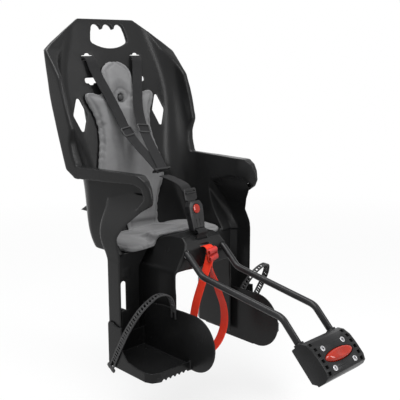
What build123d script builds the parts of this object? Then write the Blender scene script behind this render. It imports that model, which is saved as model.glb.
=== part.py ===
from build123d import *
import math
import os

os.makedirs("parts", exist_ok=True)

# Child bike seat, millimetres, +Z up, front towards -Y, the child's right towards -X.
# The origin is the middle of the clamp that grips the seat tube of the bicycle.

# Shell
wall = 3.6
recline = 13.8
back_foot_y = 590.0
back_foot_z = 160.0
pan_top = 164.0
pan_front_y = 466.0
bucket_open_y = 300.0
bucket_levels = (130.0, 250.0, 354.0, 450.0, 560.0, 740.0)
bucket_half_front = (148.0, 150.0, 154.0, 182.0, 184.0, 176.0)
bucket_half_rear = (160.0, 168.0, 176.0, 186.0, 188.0, 180.0)
bucket_corner = (55.0, 42.0, 64.0, 50.0, 46.0, 40.0)
back_inset = (28.0, 0.0, 0.0, 0.0, 0.0, 0.0)
rim_reach = (20.0, 20.0, 20.0, 16.0, 15.0, 23.0)
rim_corner = 6.0
rim_thick = 4.0
arm_top = 354.0
arm_front_y = 348.0
arm_flare = 16.0
flare_y = 405.0
top_half = 86.0
top_up = 154.0
top_return = 2.0
shoulder_depth = 14.0
shoulder_half = 198.0

# Handle, strap slots and vents in the back, measured up the back from its reference height
ref_z = 544.8
handle_half = 52.0
handle_low = 84.0
handle_high = 128.0
finger_r = 15.0
finger_pitch = 36.0
handle_return = 8.0
slot_x = 75.5
slot_width = 34.0
slot_height = 12.0
slot_bump_width = 13.0
slot_rise = 5.0
slot_upper = 56.0
slot_lower = 0.0
vent_x = 124.0
vent_up = -84.0
vent_half_height = 47.0
vent_half_width = 19.5
vent_rib = 3.0
vent_rib_depth = 12.0
fin_depth = 32.0
fin_half = 146.0
fin_height = 19.0
fin_levels = (169.0, 234.0)
fin_tips = (609.0, 650.0)

# Legs
leg_low = -66.0
leg_outer = 214.0
leg_front_y = 408.0
leg_panel_y = 464.0
leg_panel_end = 116.0
leg_deep_y = 490.0
guard_front = 88.0
guard_rear = 94.0
guard_front_y = 360.0
slot_leg_x = 160.0
slot_leg_width = 13.0
slot_leg_high = 97.0
slot_leg_end = 1.0
ridge_pitch = 5.2
ridge_count = 4

# Nose between the legs
nose_top = 197.0
nose_low = 124.0
nose_half_top = 51.0
nose_half_low = 92.0
nose_front_y = 358.0
strap_slot_width = 32.0
crotch_slot_y = 371.0
safety_slot_z = 174.0

# Carrier bar
bar_r = 7.5
bar_gap = 0.3
bar_half_seat = 58.0
bar_half_clamp = 53.5
bar_bend = 34.0
bar_rear_y = 548.0
bar_drop_y = 432.0
bar_hole_y = 362.0
bar_hole_z = 168.0
bar_low_y = 309.0
bar_low_z = 121.0
bar_knee = 119.0
plate_thick = 4.0
boss_x = 36.0
boss_y = 500.0
boss_pitch = 60.0
boss_r = 8.0
boss_rise = 15.0
plate_bolt_r = 3.0

# Clamp block, its own axes lie along the seat tube and square to it
clamp_tilt = 45.0
tube_r = 15.9
block_half = 64.0
block_high = 54.0
block_low = -34.0
block_front = 37.0
jaw_half = 40.0
jaw_back = -27.0
jaw_high = 50.0
jaw_low = -32.0
jaw_gap = 1.0
bar_socket_n = 5.0
bar_socket_depth = 64.0
bolt_x = 33.0
bolt_high = 25.0
bolt_low = -19.0
bolt_r = 3.0
bolt_gap = 0.3
bolt_head_r = 6.0
bolt_head_height = 6.0
bolt_hex_r = 3.4
nut_r = 5.8
nut_height = 5.0
notch_count = 7
notch_size = 9.0
notch_depth = 5.0
button_half = 45.0
button_r = 13.0
button_mid = 3.0
button_foot = 30.0
button_head = 44.0
button_travel = 4.0
button_gap = 0.4
button_under = 2.1
latch_half = 5.0
latch_thick = 2.4
spring_r = 4.6
spring_wire = 0.6

# Pad and harness
pad_thick = 12.0
pad_gap = 0.4
pad_button_r = 8.0
pad_button_up = -48.0
dimple_floor = 3.0
web_width = 28.0
web_thick = 1.6
anchor_size = 4.5
safety_width = 24.0
buckle_y = 393.5
buckle_z = 244.0
buckle_tilt = 13.0
buckle_half = 21.0
buckle_thick = 8.0
press_travel = 3.0
press_gap = 0.35
press_foot = 2.6
press_under = 2.6
tongue_thick = 2.4

# Footrests
foot_travel = 60.0
foot_gap = 1.2
foot_wall = 3.2
foot_floor = -70.0
foot_outer_top = 22.0
foot_outer_front = 401.0
foot_back_y = 458.0
foot_back_top = -25.0
foot_front_y = 297.0
foot_inner = 103.0
foot_lip = 9.0
foot_skirt = 11.0
ear_r = 66.0
ear_y = 286.0
ear_z = -17.0
peg_height = 20.0
peg_z = 3.0
knob_r = 15.0
knob_depth = 11.0
tread_r = 7.0
tread_pitch = 24.0
notch_count = 6
notch_pitch = 13.0
notch_r = 4.6
ladder_width = 16.0
ladder_thick = 2.6
ladder_holes = 36
ladder_hole = 9.0

slope = math.tan(math.radians(recline))


def back_y(z):
    return back_foot_y + slope * (z - back_foot_z)


back_plane = Plane(
    origin=(0, back_y(ref_z), ref_z),
    x_dir=(1, 0, 0),
    z_dir=(0, -math.cos(math.radians(recline)), math.sin(math.radians(recline))),
)
side_plane = Plane(origin=(0, 0, 0), x_dir=(0, 1, 0), z_dir=(1, 0, 0))


def across(face, half):
    return extrude(face, amount=half, both=True)


def side_shape(points):
    return make_face(side_plane * Polyline(*points, close=True))


def box(x0, x1, y0, y1, z0, z1):
    return Pos((x0 + x1) / 2, (y0 + y1) / 2, (z0 + z1) / 2) * Box(abs(x1 - x0), abs(y1 - y0), abs(z1 - z0))


def mirror_x(shape):
    return mirror(shape, about=Plane.YZ)


def bucket(extra, corner=None):
    sections = []
    for level, front, rear, bend, reach, inset in zip(
        bucket_levels, bucket_half_front, bucket_half_rear, bucket_corner, rim_reach, back_inset
    ):
        grow = reach + extra if corner else extra
        f = front + grow
        r = rear + grow
        c = corner + extra if corner else bend + extra
        y = back_y(level) - inset + extra
        d = c * (1 - math.cos(math.radians(45)))
        edges = [
            ThreePointArc((-r, y - c, level), (-r + d, y - d, level), (-r + c, y, level)),
            Line((-r + c, y, level), (r - c, y, level)),
            ThreePointArc((r - c, y, level), (r - d, y - d, level), (r, y - c, level)),
        ]
        wide = f
        if not corner:
            wide = f + arm_flare
            flare_mid = (flare_y + arm_front_y) / 2
            for side in (1, -1):
                edges.append(Line((side * r, y - c, level), (side * f, flare_y, level)))
                edges.append(
                    ThreePointArc(
                        (side * f, flare_y, level),
                        (side * (f + arm_flare * 0.26), flare_mid, level),
                        (side * wide, arm_front_y, level),
                    )
                )
                edges.append(Line((side * wide, arm_front_y, level), (side * wide, bucket_open_y, level)))
        else:
            for side in (1, -1):
                edges.append(Line((side * r, y - c, level), (side * f, bucket_open_y, level)))
        edges.append(Line((wide, bucket_open_y, level), (-wide, bucket_open_y, level)))
        sections.append(make_face(Wire(edges)))
    return loft(sections)


def bent(points, radius):
    edges = []
    start = Vector(*points[0])
    for before, corner, after in zip(points, points[1:], points[2:]):
        c = Vector(*corner)
        u = (Vector(*before) - c).normalized()
        v = (Vector(*after) - c).normalized()
        half = math.acos(max(-1, min(1, u.dot(v)))) / 2
        back = radius / math.tan(half)
        mid = (u + v).normalized()
        middle = c + mid * (radius / math.sin(half) - radius)
        edges.append(Line(start, c + u * back))
        edges.append(ThreePointArc(c + u * back, middle, c + v * back))
        start = c + v * back
    edges.append(Line(start, Vector(*points[-1])))
    return Wire(edges)


def ribbon_frames(points, across_dir, count):
    path = Spline(*points)
    frames = []
    for i in range(count):
        t = i / (count - 1)
        along = path.tangent_at(t)
        hint = Vector(*across_dir)
        width_dir = (hint - along * hint.dot(along)).normalized()
        frames.append(Plane(origin=path.position_at(t), x_dir=width_dir, z_dir=along))
    return frames


def ribbon(points, width, thick, across_dir=(1, 0, 0), count=9):
    frames = ribbon_frames(points, across_dir, count)
    return loft([frame * Rectangle(width, thick) for frame in frames])


def coil(radius, wire, height, turns):
    path = Helix(pitch=height / turns, height=height, radius=radius)
    start = Plane(origin=path.position_at(0), z_dir=path.tangent_at(0))
    return sweep(start * Circle(wire), path=path)


# Side view of the shell: wings, waist, armrest and the sweep down to the leg
arm_edge = [
    (607, 408),
    (604, 384),
    (592, arm_top),
    (382, arm_top + 2),
    (364, 346),
    (353, 330),
    (arm_front_y, 308),
    (356, 291),
    (379, 276),
    (401, 250),
]
wing_edge = [
    (back_y(694) - 1, 694),
    (back_y(622) - 12, 622),
    (661, 588),
    (634, 556),
    (616, 500),
    (597, 440),
]
rim_points = [(back_y(740) + 40, 740), (back_y(740) - 1, 740)]
rim_points = rim_points + wing_edge + arm_edge
rim_low = [(421, 217), (pan_front_y - 40, pan_top - wall), (back_y(pan_top) + 30, pan_top - wall)]
rim_points = rim_points + rim_low
rim_face = side_shape(rim_points)
rim_region = across(rim_face, 260)
inner_bucket = bucket(0)
skin = (bucket(wall) & rim_region) - inner_bucket

# Rim turned outwards, then back as a skirt
rim_outer = bucket(0, corner=rim_corner)
skirt_low = [
    (back_y(690) + wall, 690),
    (back_y(400) + wall, 400),
    (back_y(arm_top) - 4, 342),
    (600, 322),
    (470, 330),
    (400, 334),
    (378, 326),
    (372, 306),
    (388, 290),
    (412, 262),
]
skirt_line = skirt_low + list(reversed(wing_edge + arm_edge))
rim_band = across(rim_face - offset(rim_face, -rim_thick), 260) & box(-260, 260, 330, 760, 238, 700)
skirt = (rim_outer & across(side_shape(skirt_line), 260)) - bucket(-wall, corner=rim_corner) - inner_bucket
rim = (rim_outer & rim_band) - inner_bucket
shell = skin + rim + skirt

# Top outline of the back, its edge turned to the rear
front_points = [
    (-top_half, top_up),
    (top_half, top_up),
    (172, 96),
    (shoulder_half + 1, 74),
    (shoulder_half + 40, 10),
    (shoulder_half + 40, -420),
    (-shoulder_half - 40, -420),
    (-shoulder_half - 40, 10),
    (-shoulder_half - 1, 74),
    (-172, 96),
]
front_face = make_face(Polyline(*[(x, y, 0) for x, y in front_points], close=True))
front_face = fillet(front_face.vertices().group_by(Axis.Y)[-1], 10)
front_region = across(back_plane * front_face, 420)
top_face = front_face - offset(front_face, -wall)
top_depth = top_return + wall + shoulder_depth
top_band = extrude(back_plane * Pos(0, 0, shoulder_depth) * top_face, amount=-top_depth)
top_band = top_band & rim_region & box(-197, 197, 600, 800, 612, 740)
shell = (shell & front_region) + top_band

# Handle hole with finger scallops, strap slots and vents
handle_corner = (handle_half + 6, handle_low + 12, 0)
handle_opposite = (-handle_half - 6, handle_low + 12, 0)
handle_top = [(handle_half, handle_high, 0), (-handle_half, handle_high, 0)]
handle = Polyline(handle_corner, *handle_top, handle_opposite)
handle = handle + ThreePointArc(handle_opposite, (0, handle_low - 4, 0), handle_corner)
handle_face = fillet(make_face(handle).vertices(), 9)
for i in (-1, 0, 1):
    handle_face = handle_face + Pos(i * finger_pitch, handle_high - 2) * Circle(finger_r)
slot_hump = slot_height / 2 + slot_rise / 2 - 2
slot_body = RectangleRounded(slot_width, slot_height, 3)
slot_bump = RectangleRounded(slot_bump_width, slot_rise + 4, 3)
slot_face = Pos(slot_x, slot_upper) * (slot_body + Pos(0, slot_hump) * slot_bump)
slot_face = slot_face + Pos(slot_x, slot_lower) * (slot_body + Pos(0, -slot_hump) * slot_bump)
vent = Polyline(
    (0, vent_half_height, 0),
    (vent_half_width, 0, 0),
    (0, -vent_half_height, 0),
    (-vent_half_width, 0, 0),
    close=True,
)
vent_face = Pos(vent_x, vent_up) * fillet(make_face(vent).vertices(), 4)
openings = across(back_plane * handle_face, 60)
for side in (1, -1):
    openings = openings + across(back_plane * (slot_face if side > 0 else mirror_x(slot_face)), 60)
    openings = openings + across(back_plane * (vent_face if side > 0 else mirror_x(vent_face)), 60)
shell = shell - openings
handle_wall = extrude(back_plane * (offset(handle_face, 3) - handle_face), amount=-handle_return)
shell = shell + handle_wall
for side in (1, -1):
    rib_x = side * (vent_x - vent_half_width - vent_rib / 2)
    rib_place = back_plane * Pos(rib_x, vent_up, -1 - vent_rib_depth / 2)
    shell = shell + rib_place * Box(vent_rib, 2 * vent_half_height, vent_rib_depth)

# Leg channels: outer wall, panel, deep calf recess and the guard beside the wheel
leg_out = [
    (guard_front, guard_front_y),
    (guard_rear, leg_deep_y - 14),
    (guard_rear + 8, leg_deep_y),
    (leg_panel_end - 6, leg_deep_y),
    (leg_panel_end, leg_panel_y + wall),
    (leg_outer - 16, leg_panel_y + wall),
    (leg_outer, leg_panel_y - 14),
    (leg_outer, leg_front_y),
]
leg_in = [
    (leg_outer - wall, leg_front_y),
    (leg_outer - wall, leg_panel_y - 14),
    (leg_outer - 17.5, leg_panel_y),
    (leg_panel_end - wall, leg_panel_y),
    (leg_panel_end - 6 - wall, leg_deep_y - wall),
    (guard_rear + 10, leg_deep_y - wall),
    (guard_rear + wall, leg_deep_y - 16),
    (guard_front + wall, guard_front_y),
]
leg_face = make_face(Polyline(*[(x, y, leg_low) for x, y in leg_out + leg_in], close=True))
leg_tube = extrude(leg_face, amount=pan_top - leg_low)
front_view = Plane(origin=(0, 0, 0), x_dir=(1, 0, 0), z_dir=(0, -1, 0))
deep_zone = box(guard_front - 5, leg_panel_end + 8, 340, 500, leg_low - 1, nose_low + 4)
leg = leg_tube & (deep_zone + box(leg_panel_end - 2, leg_outer + 5, 340, 500, leg_low - 1, pan_top + 1))
gusset = Polyline(
    (leg_panel_end, nose_low),
    (nose_half_top + 33, pan_top),
    (leg_panel_end + 6, pan_top),
    (leg_panel_end + 6, nose_low),
    close=True,
)
gusset_plate = across(front_view * make_face(gusset), 600)
leg = leg + (gusset_plate & box(0, 260, leg_panel_y, leg_panel_y + wall, 0, 400))
recess_back = Polyline(
    (guard_rear, nose_low),
    (leg_panel_end, nose_low),
    (nose_half_top + 33, pan_top),
    (nose_half_top + 24, pan_top),
    close=True,
)
recess_plate = across(front_view * make_face(recess_back), 600)
leg = leg + (recess_plate & box(0, 260, leg_deep_y - wall, leg_deep_y, nose_low - 1, pan_top))
ramp = Polyline(
    (leg_panel_end - wall, nose_low - 1),
    (nose_half_top + 30, pan_top),
    (nose_half_top + 35, pan_top),
    (leg_panel_end + 1.5, nose_low - 1),
    close=True,
)
ramp_plate = across(front_view * make_face(ramp), 600)
leg = leg + (ramp_plate & box(0, 260, leg_panel_y, leg_deep_y, nose_low - 2, pan_top))
ledge = box(nose_half_top + 20, leg_outer - 1, leg_panel_y, 505, pan_top - wall, pan_top)
ledge_plan = [
    (60, 340, 100),
    (leg_outer, 340, 100),
    (leg_outer, leg_panel_y - 12, 100),
    (leg_outer - 14, leg_panel_y + 3, 100),
    (174, 486, 100),
    (152, 505, 100),
    (60, 505, 100),
]
ledge = ledge & extrude(make_face(Polyline(*ledge_plan, close=True)), amount=100)
leg_slot = box(
    slot_leg_x - slot_leg_width / 2,
    slot_leg_x + slot_leg_width / 2,
    leg_panel_y - 10,
    leg_panel_y + 20,
    peg_z - foot_travel - slot_leg_end,
    slot_leg_high - slot_leg_width / 2,
)
slot_end = Pos(slot_leg_x, leg_panel_y, slot_leg_high - slot_leg_width / 2) * Rot(90, 0, 0)
leg_slot = leg_slot + slot_end * Cylinder(slot_leg_width / 2, 30)
leg = leg + ledge - leg_slot
for i in range(ridge_count):
    z = slot_leg_high + 10 + i * ridge_pitch
    leg = leg + box(slot_leg_x - 18, slot_leg_x + 2, leg_panel_y - 1.2, leg_panel_y, z, z + ridge_pitch / 2)

# Swelling of the side wall over the leg
swell_levels = (pan_top - wall, 190.0, 222.0, 255.0, 285.0, 310.0)
swell_half = (leg_outer, leg_outer - 1, leg_outer - 7, leg_outer - 25, 168.0, 155.5)
swell_rear = (leg_panel_y - 14, 468.0, 487.0, 497.0, 505.0, 510.0)


def swell(inset, front):
    faces = []
    for level, half, rear in zip(swell_levels, swell_half, swell_rear):
        h = half - inset
        r = rear - inset
        points = [(132, front), (h, front), (h, r), (h - 14, r + 14), (132, r + 14)]
        faces.append(make_face(Polyline(*[(x, y, level) for x, y in points], close=True)))
    return loft(faces)


swell_front = side_shape(
    [
        (leg_front_y, pan_top - wall),
        (leg_front_y, 182),
        (421, 217),
        (401, 250),
        (379, 276),
        (368, 312),
        (540, 312),
        (540, pan_top - wall),
    ]
)
swell_room = swell(wall, bucket_open_y)
swell_wall = (swell(0, bucket_open_y) - swell_room) & across(swell_front, 260)
swell_wall = swell_wall - inner_bucket
shell = shell - swell_room - mirror_x(swell_room)
side = leg + swell_wall
shell = shell + side + mirror_x(side)

# Pan and the hollow nose that carries the bar
pan_half = [(158, pan_front_y - 2), (158, 530), (146, 558), (108, 578)]
pan_plan = pan_half + [(-x, y) for x, y in reversed(pan_half)]
pan = extrude(make_face(Polyline(*[(x, y, pan_top - wall) for x, y in pan_plan], close=True)), amount=wall)
nose_side = [
    (nose_front_y, nose_low),
    (nose_front_y, nose_top - 26),
    (nose_front_y + 8, nose_top - 9),
    (nose_front_y + 24, nose_top),
    (nose_front_y + 66, nose_top - 2),
    (nose_front_y + 132, pan_top + 12),
    (nose_front_y + 168, pan_top - wall),
    (leg_deep_y, pan_top - wall),
    (leg_deep_y, nose_low),
]
nose_room_side = [
    (nose_front_y + wall, nose_low - 1),
    (nose_front_y + wall, nose_top - 27),
    (nose_front_y + wall + 7, nose_top - 12),
    (nose_front_y + 25, nose_top - wall),
    (nose_front_y + 65, nose_top - 2 - wall),
    (nose_front_y + 130, pan_top + 12 - wall),
    (nose_front_y + 157, pan_top - wall - 1),
    (nose_front_y + 157, nose_low - 1),
]
nose_lean = (nose_half_low - nose_half_top) / (nose_top - nose_low)
nose_skin = wall * math.sqrt(1 + nose_lean**2)


def nose_prism(top, low, thinner, side):
    half_top = nose_half_top + (nose_top - top) * nose_lean - thinner
    half_low = nose_half_top + (nose_top - low) * nose_lean - thinner
    points = [(-half_top, top), (half_top, top), (half_low, low), (-half_low, low)]
    front = make_face(front_view * Polyline(*[(x, z, 0) for x, z in points], close=True))
    return across(front, 600) & across(side_shape(side), 200)


nose_solid = nose_prism(nose_top, nose_low, 0, nose_side)
nose_room = nose_prism(nose_top - wall, nose_low - 1, nose_skin, nose_room_side)
shell = shell + pan + nose_solid - nose_room

# Fins across the back of the bucket
for level, fin_tip in zip(fin_levels, fin_tips):
    fin_root = fin_tip - 100
    fin_slope = fin_tip - fin_depth
    fin_top = level + fin_height
    fin = side_shape([(fin_root, level), (fin_tip, level), (fin_slope, fin_top), (fin_root, fin_top)])
    shell = shell + (across(fin, fin_half) - inner_bucket)

# Carrier bar, bent to a U under the pan and led down to the clamp block
clamp_plane = Plane(
    origin=(0, 0, 0),
    x_dir=(1, 0, 0),
    z_dir=(0, -math.sin(math.radians(clamp_tilt)), math.cos(math.radians(clamp_tilt))),
)


def at_clamp(x, along, out):
    return clamp_plane.from_local_coords((x, along, out))


clamp_side = Plane(origin=(0, 0, 0), x_dir=at_clamp(0, 1, 0), z_dir=(1, 0, 0))


def clamp_box(x0, x1, a0, a1, n0, n1):
    return clamp_plane * box(x0, x1, a0, a1, n0, n1)


def clamp_rod(x, along, low, high, radius):
    return clamp_plane * Pos(x, along, (low + high) / 2) * Cylinder(radius, high - low)


bar_under_z = pan_top - wall - bar_r - bar_gap
knee = at_clamp(bar_half_clamp, bar_knee, bar_socket_n)
tip = at_clamp(bar_half_clamp, block_high - bar_socket_depth, bar_socket_n)
bar_left = [
    (bar_half_seat, bar_rear_y, bar_under_z),
    (bar_half_seat, bar_drop_y, bar_under_z),
    (bar_half_seat, bar_hole_y, bar_hole_z),
    (bar_half_seat - 1, bar_low_y, bar_low_z),
    (knee.X, knee.Y, knee.Z),
    (tip.X, tip.Y, tip.Z),
]
bar_right = [(-x, y, z) for x, y, z in bar_left]
bar_path = bent(list(reversed(bar_left)) + bar_right, bar_bend)
bar_start = Plane(origin=tip, z_dir=at_clamp(0, 1, 0))
catch_n = bar_socket_n - bar_r


def bar_sweep(radius):
    return sweep(bar_start * Circle(radius), path=bar_path)


bar = bar_sweep(bar_r)
bar_room = bar_sweep(bar_r + bar_gap)
for x in (-bar_half_clamp, bar_half_clamp):
    bar = bar - clamp_box(x - 9, x + 9, button_mid - 6, button_mid + 6, catch_n - 2, catch_n + 1.6)

# Plate that holds the bar under the pan
plate_top = bar_under_z - bar_r - bar_gap
boss_points = [(x, boss_y + y) for x in (-boss_x, boss_x) for y in (-boss_pitch / 2, boss_pitch / 2)]
plate_reach = bar_half_seat + 16
plate = box(-plate_reach, plate_reach, boss_y - 42, boss_y + 34, plate_top - plate_thick, plate_top)
plate = fillet(plate.edges().filter_by(Axis.Z), 10)
plate_bolts = Part()
for x, y in boss_points:
    boss_top = pan_top - wall if y > boss_y else pan_top + boss_rise
    boss = Pos(x, y, (plate_top + boss_top) / 2) * Cylinder(boss_r, boss_top - plate_top)
    hole = Pos(x, y, plate_top + 4) * Cylinder(plate_bolt_r + 0.1, 26)
    shell = shell + boss - hole
    plate = plate - Pos(x, y, plate_top) * Cylinder(plate_bolt_r + bolt_gap, 20)
    shank = Pos(x, y, plate_top + 3) * Cylinder(plate_bolt_r, 22)
    head = Pos(x, y, plate_top - plate_thick - 3) * Cylinder(5.5, 6)
    plate_bolts = plate_bolts + (shank + head - Pos(x, y, plate_top - plate_thick - 5) * Cylinder(2.6, 4))
shell = shell - bar_room

# Clamp block: front body with the bar sockets, rear jaw, bolts and release button
front_profile = [
    (block_high, -bar_r - 4),
    (block_high, 17),
    (block_high - 9, 28),
    (block_high - 25, 35),
    (block_high - 46, block_front),
    (block_low + 16, block_front),
    (block_low + 4, block_front - 5),
    (block_low, block_front - 15),
    (block_low, 4),
    (block_low + 12, -bar_r - 4),
]


def face_out(along):
    for (a0, n0), (a1, n1) in zip(front_profile[1:], front_profile[2:]):
        if a1 <= along <= a0:
            return n0 + (n1 - n0) * (a0 - along) / (a0 - a1)
    return block_front


bolt_points = [(x, a) for x in (-bolt_x, bolt_x) for a in (bolt_low, bolt_high)]
block = across(make_face(clamp_side * Polyline(*front_profile, close=True)), block_half)
block_edges = block.edges().filter_by(GeomType.LINE).filter_by(Axis.X)
block = fillet(block_edges.sort_by(lambda e: e.center().Z)[-6:], 3)
bore = clamp_plane * Rot(90, 0, 0) * Cylinder(tube_r, 200)
block = block - clamp_box(-jaw_half - 0.4, jaw_half + 0.4, -80, 80, -60, jaw_gap / 2) - bore
socket_low = block_high - bar_socket_depth - 1
for x in (-bar_half_clamp, bar_half_clamp):
    socket = clamp_plane * Pos(x, (socket_low + 80) / 2, bar_socket_n) * Rot(90, 0, 0)
    block = block - socket * Cylinder(bar_r + bar_gap, 80 - socket_low)
    collar = Cylinder(bar_r + 3.5, 5) - Cylinder(bar_r + bar_gap, 6)
    block = block + clamp_plane * Pos(x, block_high + 1.5, bar_socket_n) * Rot(90, 0, 0) * collar
    for i in range(notch_count):
        a = block_high - 12 - i * (block_high - block_low - 22) / (notch_count - 1)
        n = face_out(a)
        half = notch_size / 2
        block = block - clamp_box(x - half, x + half, a - half + 0.9, a + half - 0.9, n - notch_depth, n + 9)
    inner = math.copysign(bar_half_clamp - bar_r - 5, x)
    outer = math.copysign(bar_half_clamp + 3.6, x)
    low = button_mid - latch_half - 0.5
    high = button_mid + latch_half + 0.5
    block = block - clamp_box(inner, outer, low, high, -60, button_foot + 0.4)
button_plane = clamp_plane * Pos(0, button_mid, 0)
button_floor = button_foot - latch_thick - button_travel - button_under
pocket_face = Ellipse(button_half + button_gap, button_r + button_gap)
pocket = extrude(button_plane * Pos(0, 0, button_floor) * pocket_face, amount=60)
block = block - pocket
for x, a in bolt_points:
    block = block - clamp_rod(x, a, -40, 60, bolt_r + bolt_gap)
    block = block - clamp_rod(x, a, face_out(a) - bolt_head_height + 0.6, 60, bolt_head_r + 0.4)

jaw = clamp_box(-jaw_half, jaw_half, jaw_low, jaw_high, jaw_back, -jaw_gap / 2)
jaw_rear = at_clamp(0, 0, jaw_back)
jaw_edges = jaw.edges().filter_by(lambda e: abs((e.center() - jaw_rear).dot(at_clamp(0, 0, 1))) < 0.5)
jaw = fillet(jaw_edges, 6)
jaw = jaw - bore
bolts = Part()
nuts = Part()
for x, a in bolt_points:
    jaw = jaw - clamp_rod(x, a, -60, 10, bolt_r + bolt_gap)
    nut_seat = clamp_plane * Pos(x, a, jaw_back) * extrude(RegularPolygon(nut_r, 6), amount=nut_height)
    nut_room = extrude(RegularPolygon(nut_r + 0.2, 6), amount=nut_height + 1)
    jaw = jaw - clamp_plane * Pos(x, a, jaw_back - 1) * nut_room
    nuts = nuts + (nut_seat - clamp_rod(x, a, -60, 0, bolt_r + 0.05))
    under = face_out(a) - bolt_head_height + 0.6
    bolt = clamp_rod(x, a, jaw_back + 0.5, under + 1, bolt_r)
    bolt = bolt + clamp_rod(x, a, under, under + bolt_head_height, bolt_head_r)
    hexagon = clamp_plane * Pos(x, a, under + 2.5) * extrude(RegularPolygon(bolt_hex_r, 6), amount=10)
    bolts = bolts + (bolt - hexagon)

button_rings = ((0, 1.0, 1.0), (0.5, 0.99, 0.97), (0.85, 0.93, 0.8), (1, 0.8, 0.5))
button = loft(
    [
        button_plane
        * Pos(0, 0, button_foot + rise * (button_head - button_foot))
        * Ellipse(button_half * along, button_r * over)
        for rise, along, over in button_rings
    ]
)
dish = button_plane * Pos(0, 0, button_head + 42) * Rot(0, 90, 0) * Sphere(46)
button = button - dish - clamp_rod(0, button_mid, 0, button_head - 6.5, spring_r + 1.6)
latch_a = button_mid - latch_half
latch_b = button_mid + latch_half
latch_reach = bar_half_clamp - 8
latch = clamp_box(-latch_reach, latch_reach, latch_a, latch_b, button_foot - latch_thick, button_foot)
for x in (-bar_half_clamp, bar_half_clamp):
    near = math.copysign(bar_half_clamp - bar_r - 2.8, x)
    wide = math.copysign(bar_half_clamp - bar_r - 0.5, x)
    toe = math.copysign(bar_half_clamp + 3, x)
    latch = latch + clamp_box(near, wide, latch_a, latch_b, catch_n - 3.4, button_foot)
    latch = latch + clamp_box(near, toe, latch_a, latch_b, catch_n - 3.4, catch_n + 1.2)
latch = latch + clamp_rod(0, button_mid, button_foot - latch_thick, button_foot, spring_r + 4.6)
latch = latch - clamp_rod(0, button_mid, 0, 60, spring_r + 1.6)
release_spring = clamp_plane * Pos(0, button_mid, button_floor + spring_wire + 0.1)
spring_height = button_head - 6.5 - button_floor - 2 * spring_wire - 0.2
release_spring = release_spring * coil(spring_r, spring_wire, spring_height, 5)

# Pad of the back and the seat
pad_half = [
    (0, 48),
    (24, 44),
    (42, 30),
    (48, 10),
    (48, -20),
    (58, -34),
    (84, -30),
    (106, -34),
    (108, -48),
    (98, -72),
    (86, -110),
    (88, -150),
    (98, -190),
    (106, -225),
    (100, -260),
    (76, -300),
    (60, -340),
    (52, -388),
]
pad_line = [(x, y, 0) for x, y in pad_half]
pad_curve = Spline(*pad_line)
pad_edges = [
    pad_curve,
    Line(pad_line[-1], (-pad_line[-1][0], pad_line[-1][1], 0)),
    Spline(*[(-x, y, z) for x, y, z in reversed(pad_line)]),
]
pad_back = extrude(Pos(0, 0, pad_gap) * make_face(Wire(pad_edges)), amount=pad_thick)
pad_back = back_plane * pad_back
seat_plan = [
    (60, 590),
    (112, 585),
    (146, 560),
    (158, 520),
    (160, 482),
    (153, 460),
    (134, 452),
    (72, 454),
    (46, 444),
    (0, 436),
]
seat_plan = seat_plan + [(-x, y) for x, y in reversed(seat_plan[:-1])]
seat_line = Polyline(*[(x, y, pan_top + pad_gap) for x, y in seat_plan], close=True)
seat_prism = extrude(make_face(seat_line), amount=60)
seat_flat = seat_prism & box(-300, 300, 300, 700, pan_top + pad_gap, pan_top + pad_gap + pad_thick)
hump_side = [(y, z + pad_thick + pad_gap) for y, z in nose_side[1:6]]
hump_side = hump_side + [(nose_front_y + 176, pan_top + pad_gap), (nose_front_y, pan_top + pad_gap)]
pad_cover = nose_prism(nose_top + pad_thick, pan_top + pad_gap, -pad_thick, hump_side)
pad = seat_flat + (seat_prism & pad_cover)
pad = pad - nose_prism(nose_top + pad_gap, nose_low, -pad_gap, [(y, z + pad_gap) for y, z in nose_side])
pad = (pad + pad_back) & box(-300, 300, 300, 800, pan_top + pad_gap, 700)
pad = pad & bucket(-0.6)
dimple = back_plane * Pos(0, pad_button_up, dimple_floor + 8) * Cone(pad_button_r + 2, pad_button_r + 9, 16)
pad_button = back_plane * Pos(0, pad_button_up, dimple_floor + 1.5) * Cylinder(pad_button_r, 3)
pad_stem = Cylinder(2.2, dimple_floor)
pad_button = pad_button + back_plane * Pos(0, pad_button_up, dimple_floor / 2 + 0.5) * pad_stem
pad = pad - dimple - back_plane * Pos(0, pad_button_up, 0) * Cylinder(2.5, 60)

# Harness
ring_at = Vector(0, 511, 334)
strap_start = back_plane.from_local_coords((slot_x, slot_upper, -16))
strap_in = back_plane.from_local_coords((slot_x, slot_upper, 0))
strap_out = back_plane.from_local_coords((slot_x - 3, slot_upper - 10, 7))
strap_run = [(67, 680, 568.5), (50, 659.5, 519), (34.5, 638, 470), (26, 608, 420)]
strap_rise = 3.0


def shoulder(side, rise):
    points = [(side * p.X, p.Y, p.Z) for p in (strap_start, strap_in, strap_out)]
    points = points + [(side * x, y, z + rise * (568.5 - z) / 150) for x, y, z in strap_run]
    return points + [(side * 3, ring_at.Y - 3, ring_at.Z - 5 + rise * 1.2)]


def slider(frame):
    sleeve = Rot(90, 0, 0) * extrude(RectangleRounded(web_width + 9, 26, 4), amount=3, both=True)
    sleeve = sleeve - Box(web_width + 2, web_thick + 1.4, 40)
    sleeve = sleeve - Pos(0, -3, 7) * Box(web_width + 1, 4, 7) - Pos(0, -3, -7) * Box(web_width + 1, 4, 7)
    return frame * sleeve


def slider_frame(points):
    middle = Vector(*points[6])
    return min(ribbon_frames(points, (1, 0, 0), 101), key=lambda f: (f.origin - middle).length)


left_line = shoulder(1, strap_rise)
right_line = shoulder(-1, 0)
strap_left = ribbon(left_line, web_width, web_thick, count=17)
strap_right = ribbon(right_line, web_width, web_thick, count=17)
slider_left = slider(slider_frame(left_line))
slider_right = slider(slider_frame(right_line))

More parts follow.
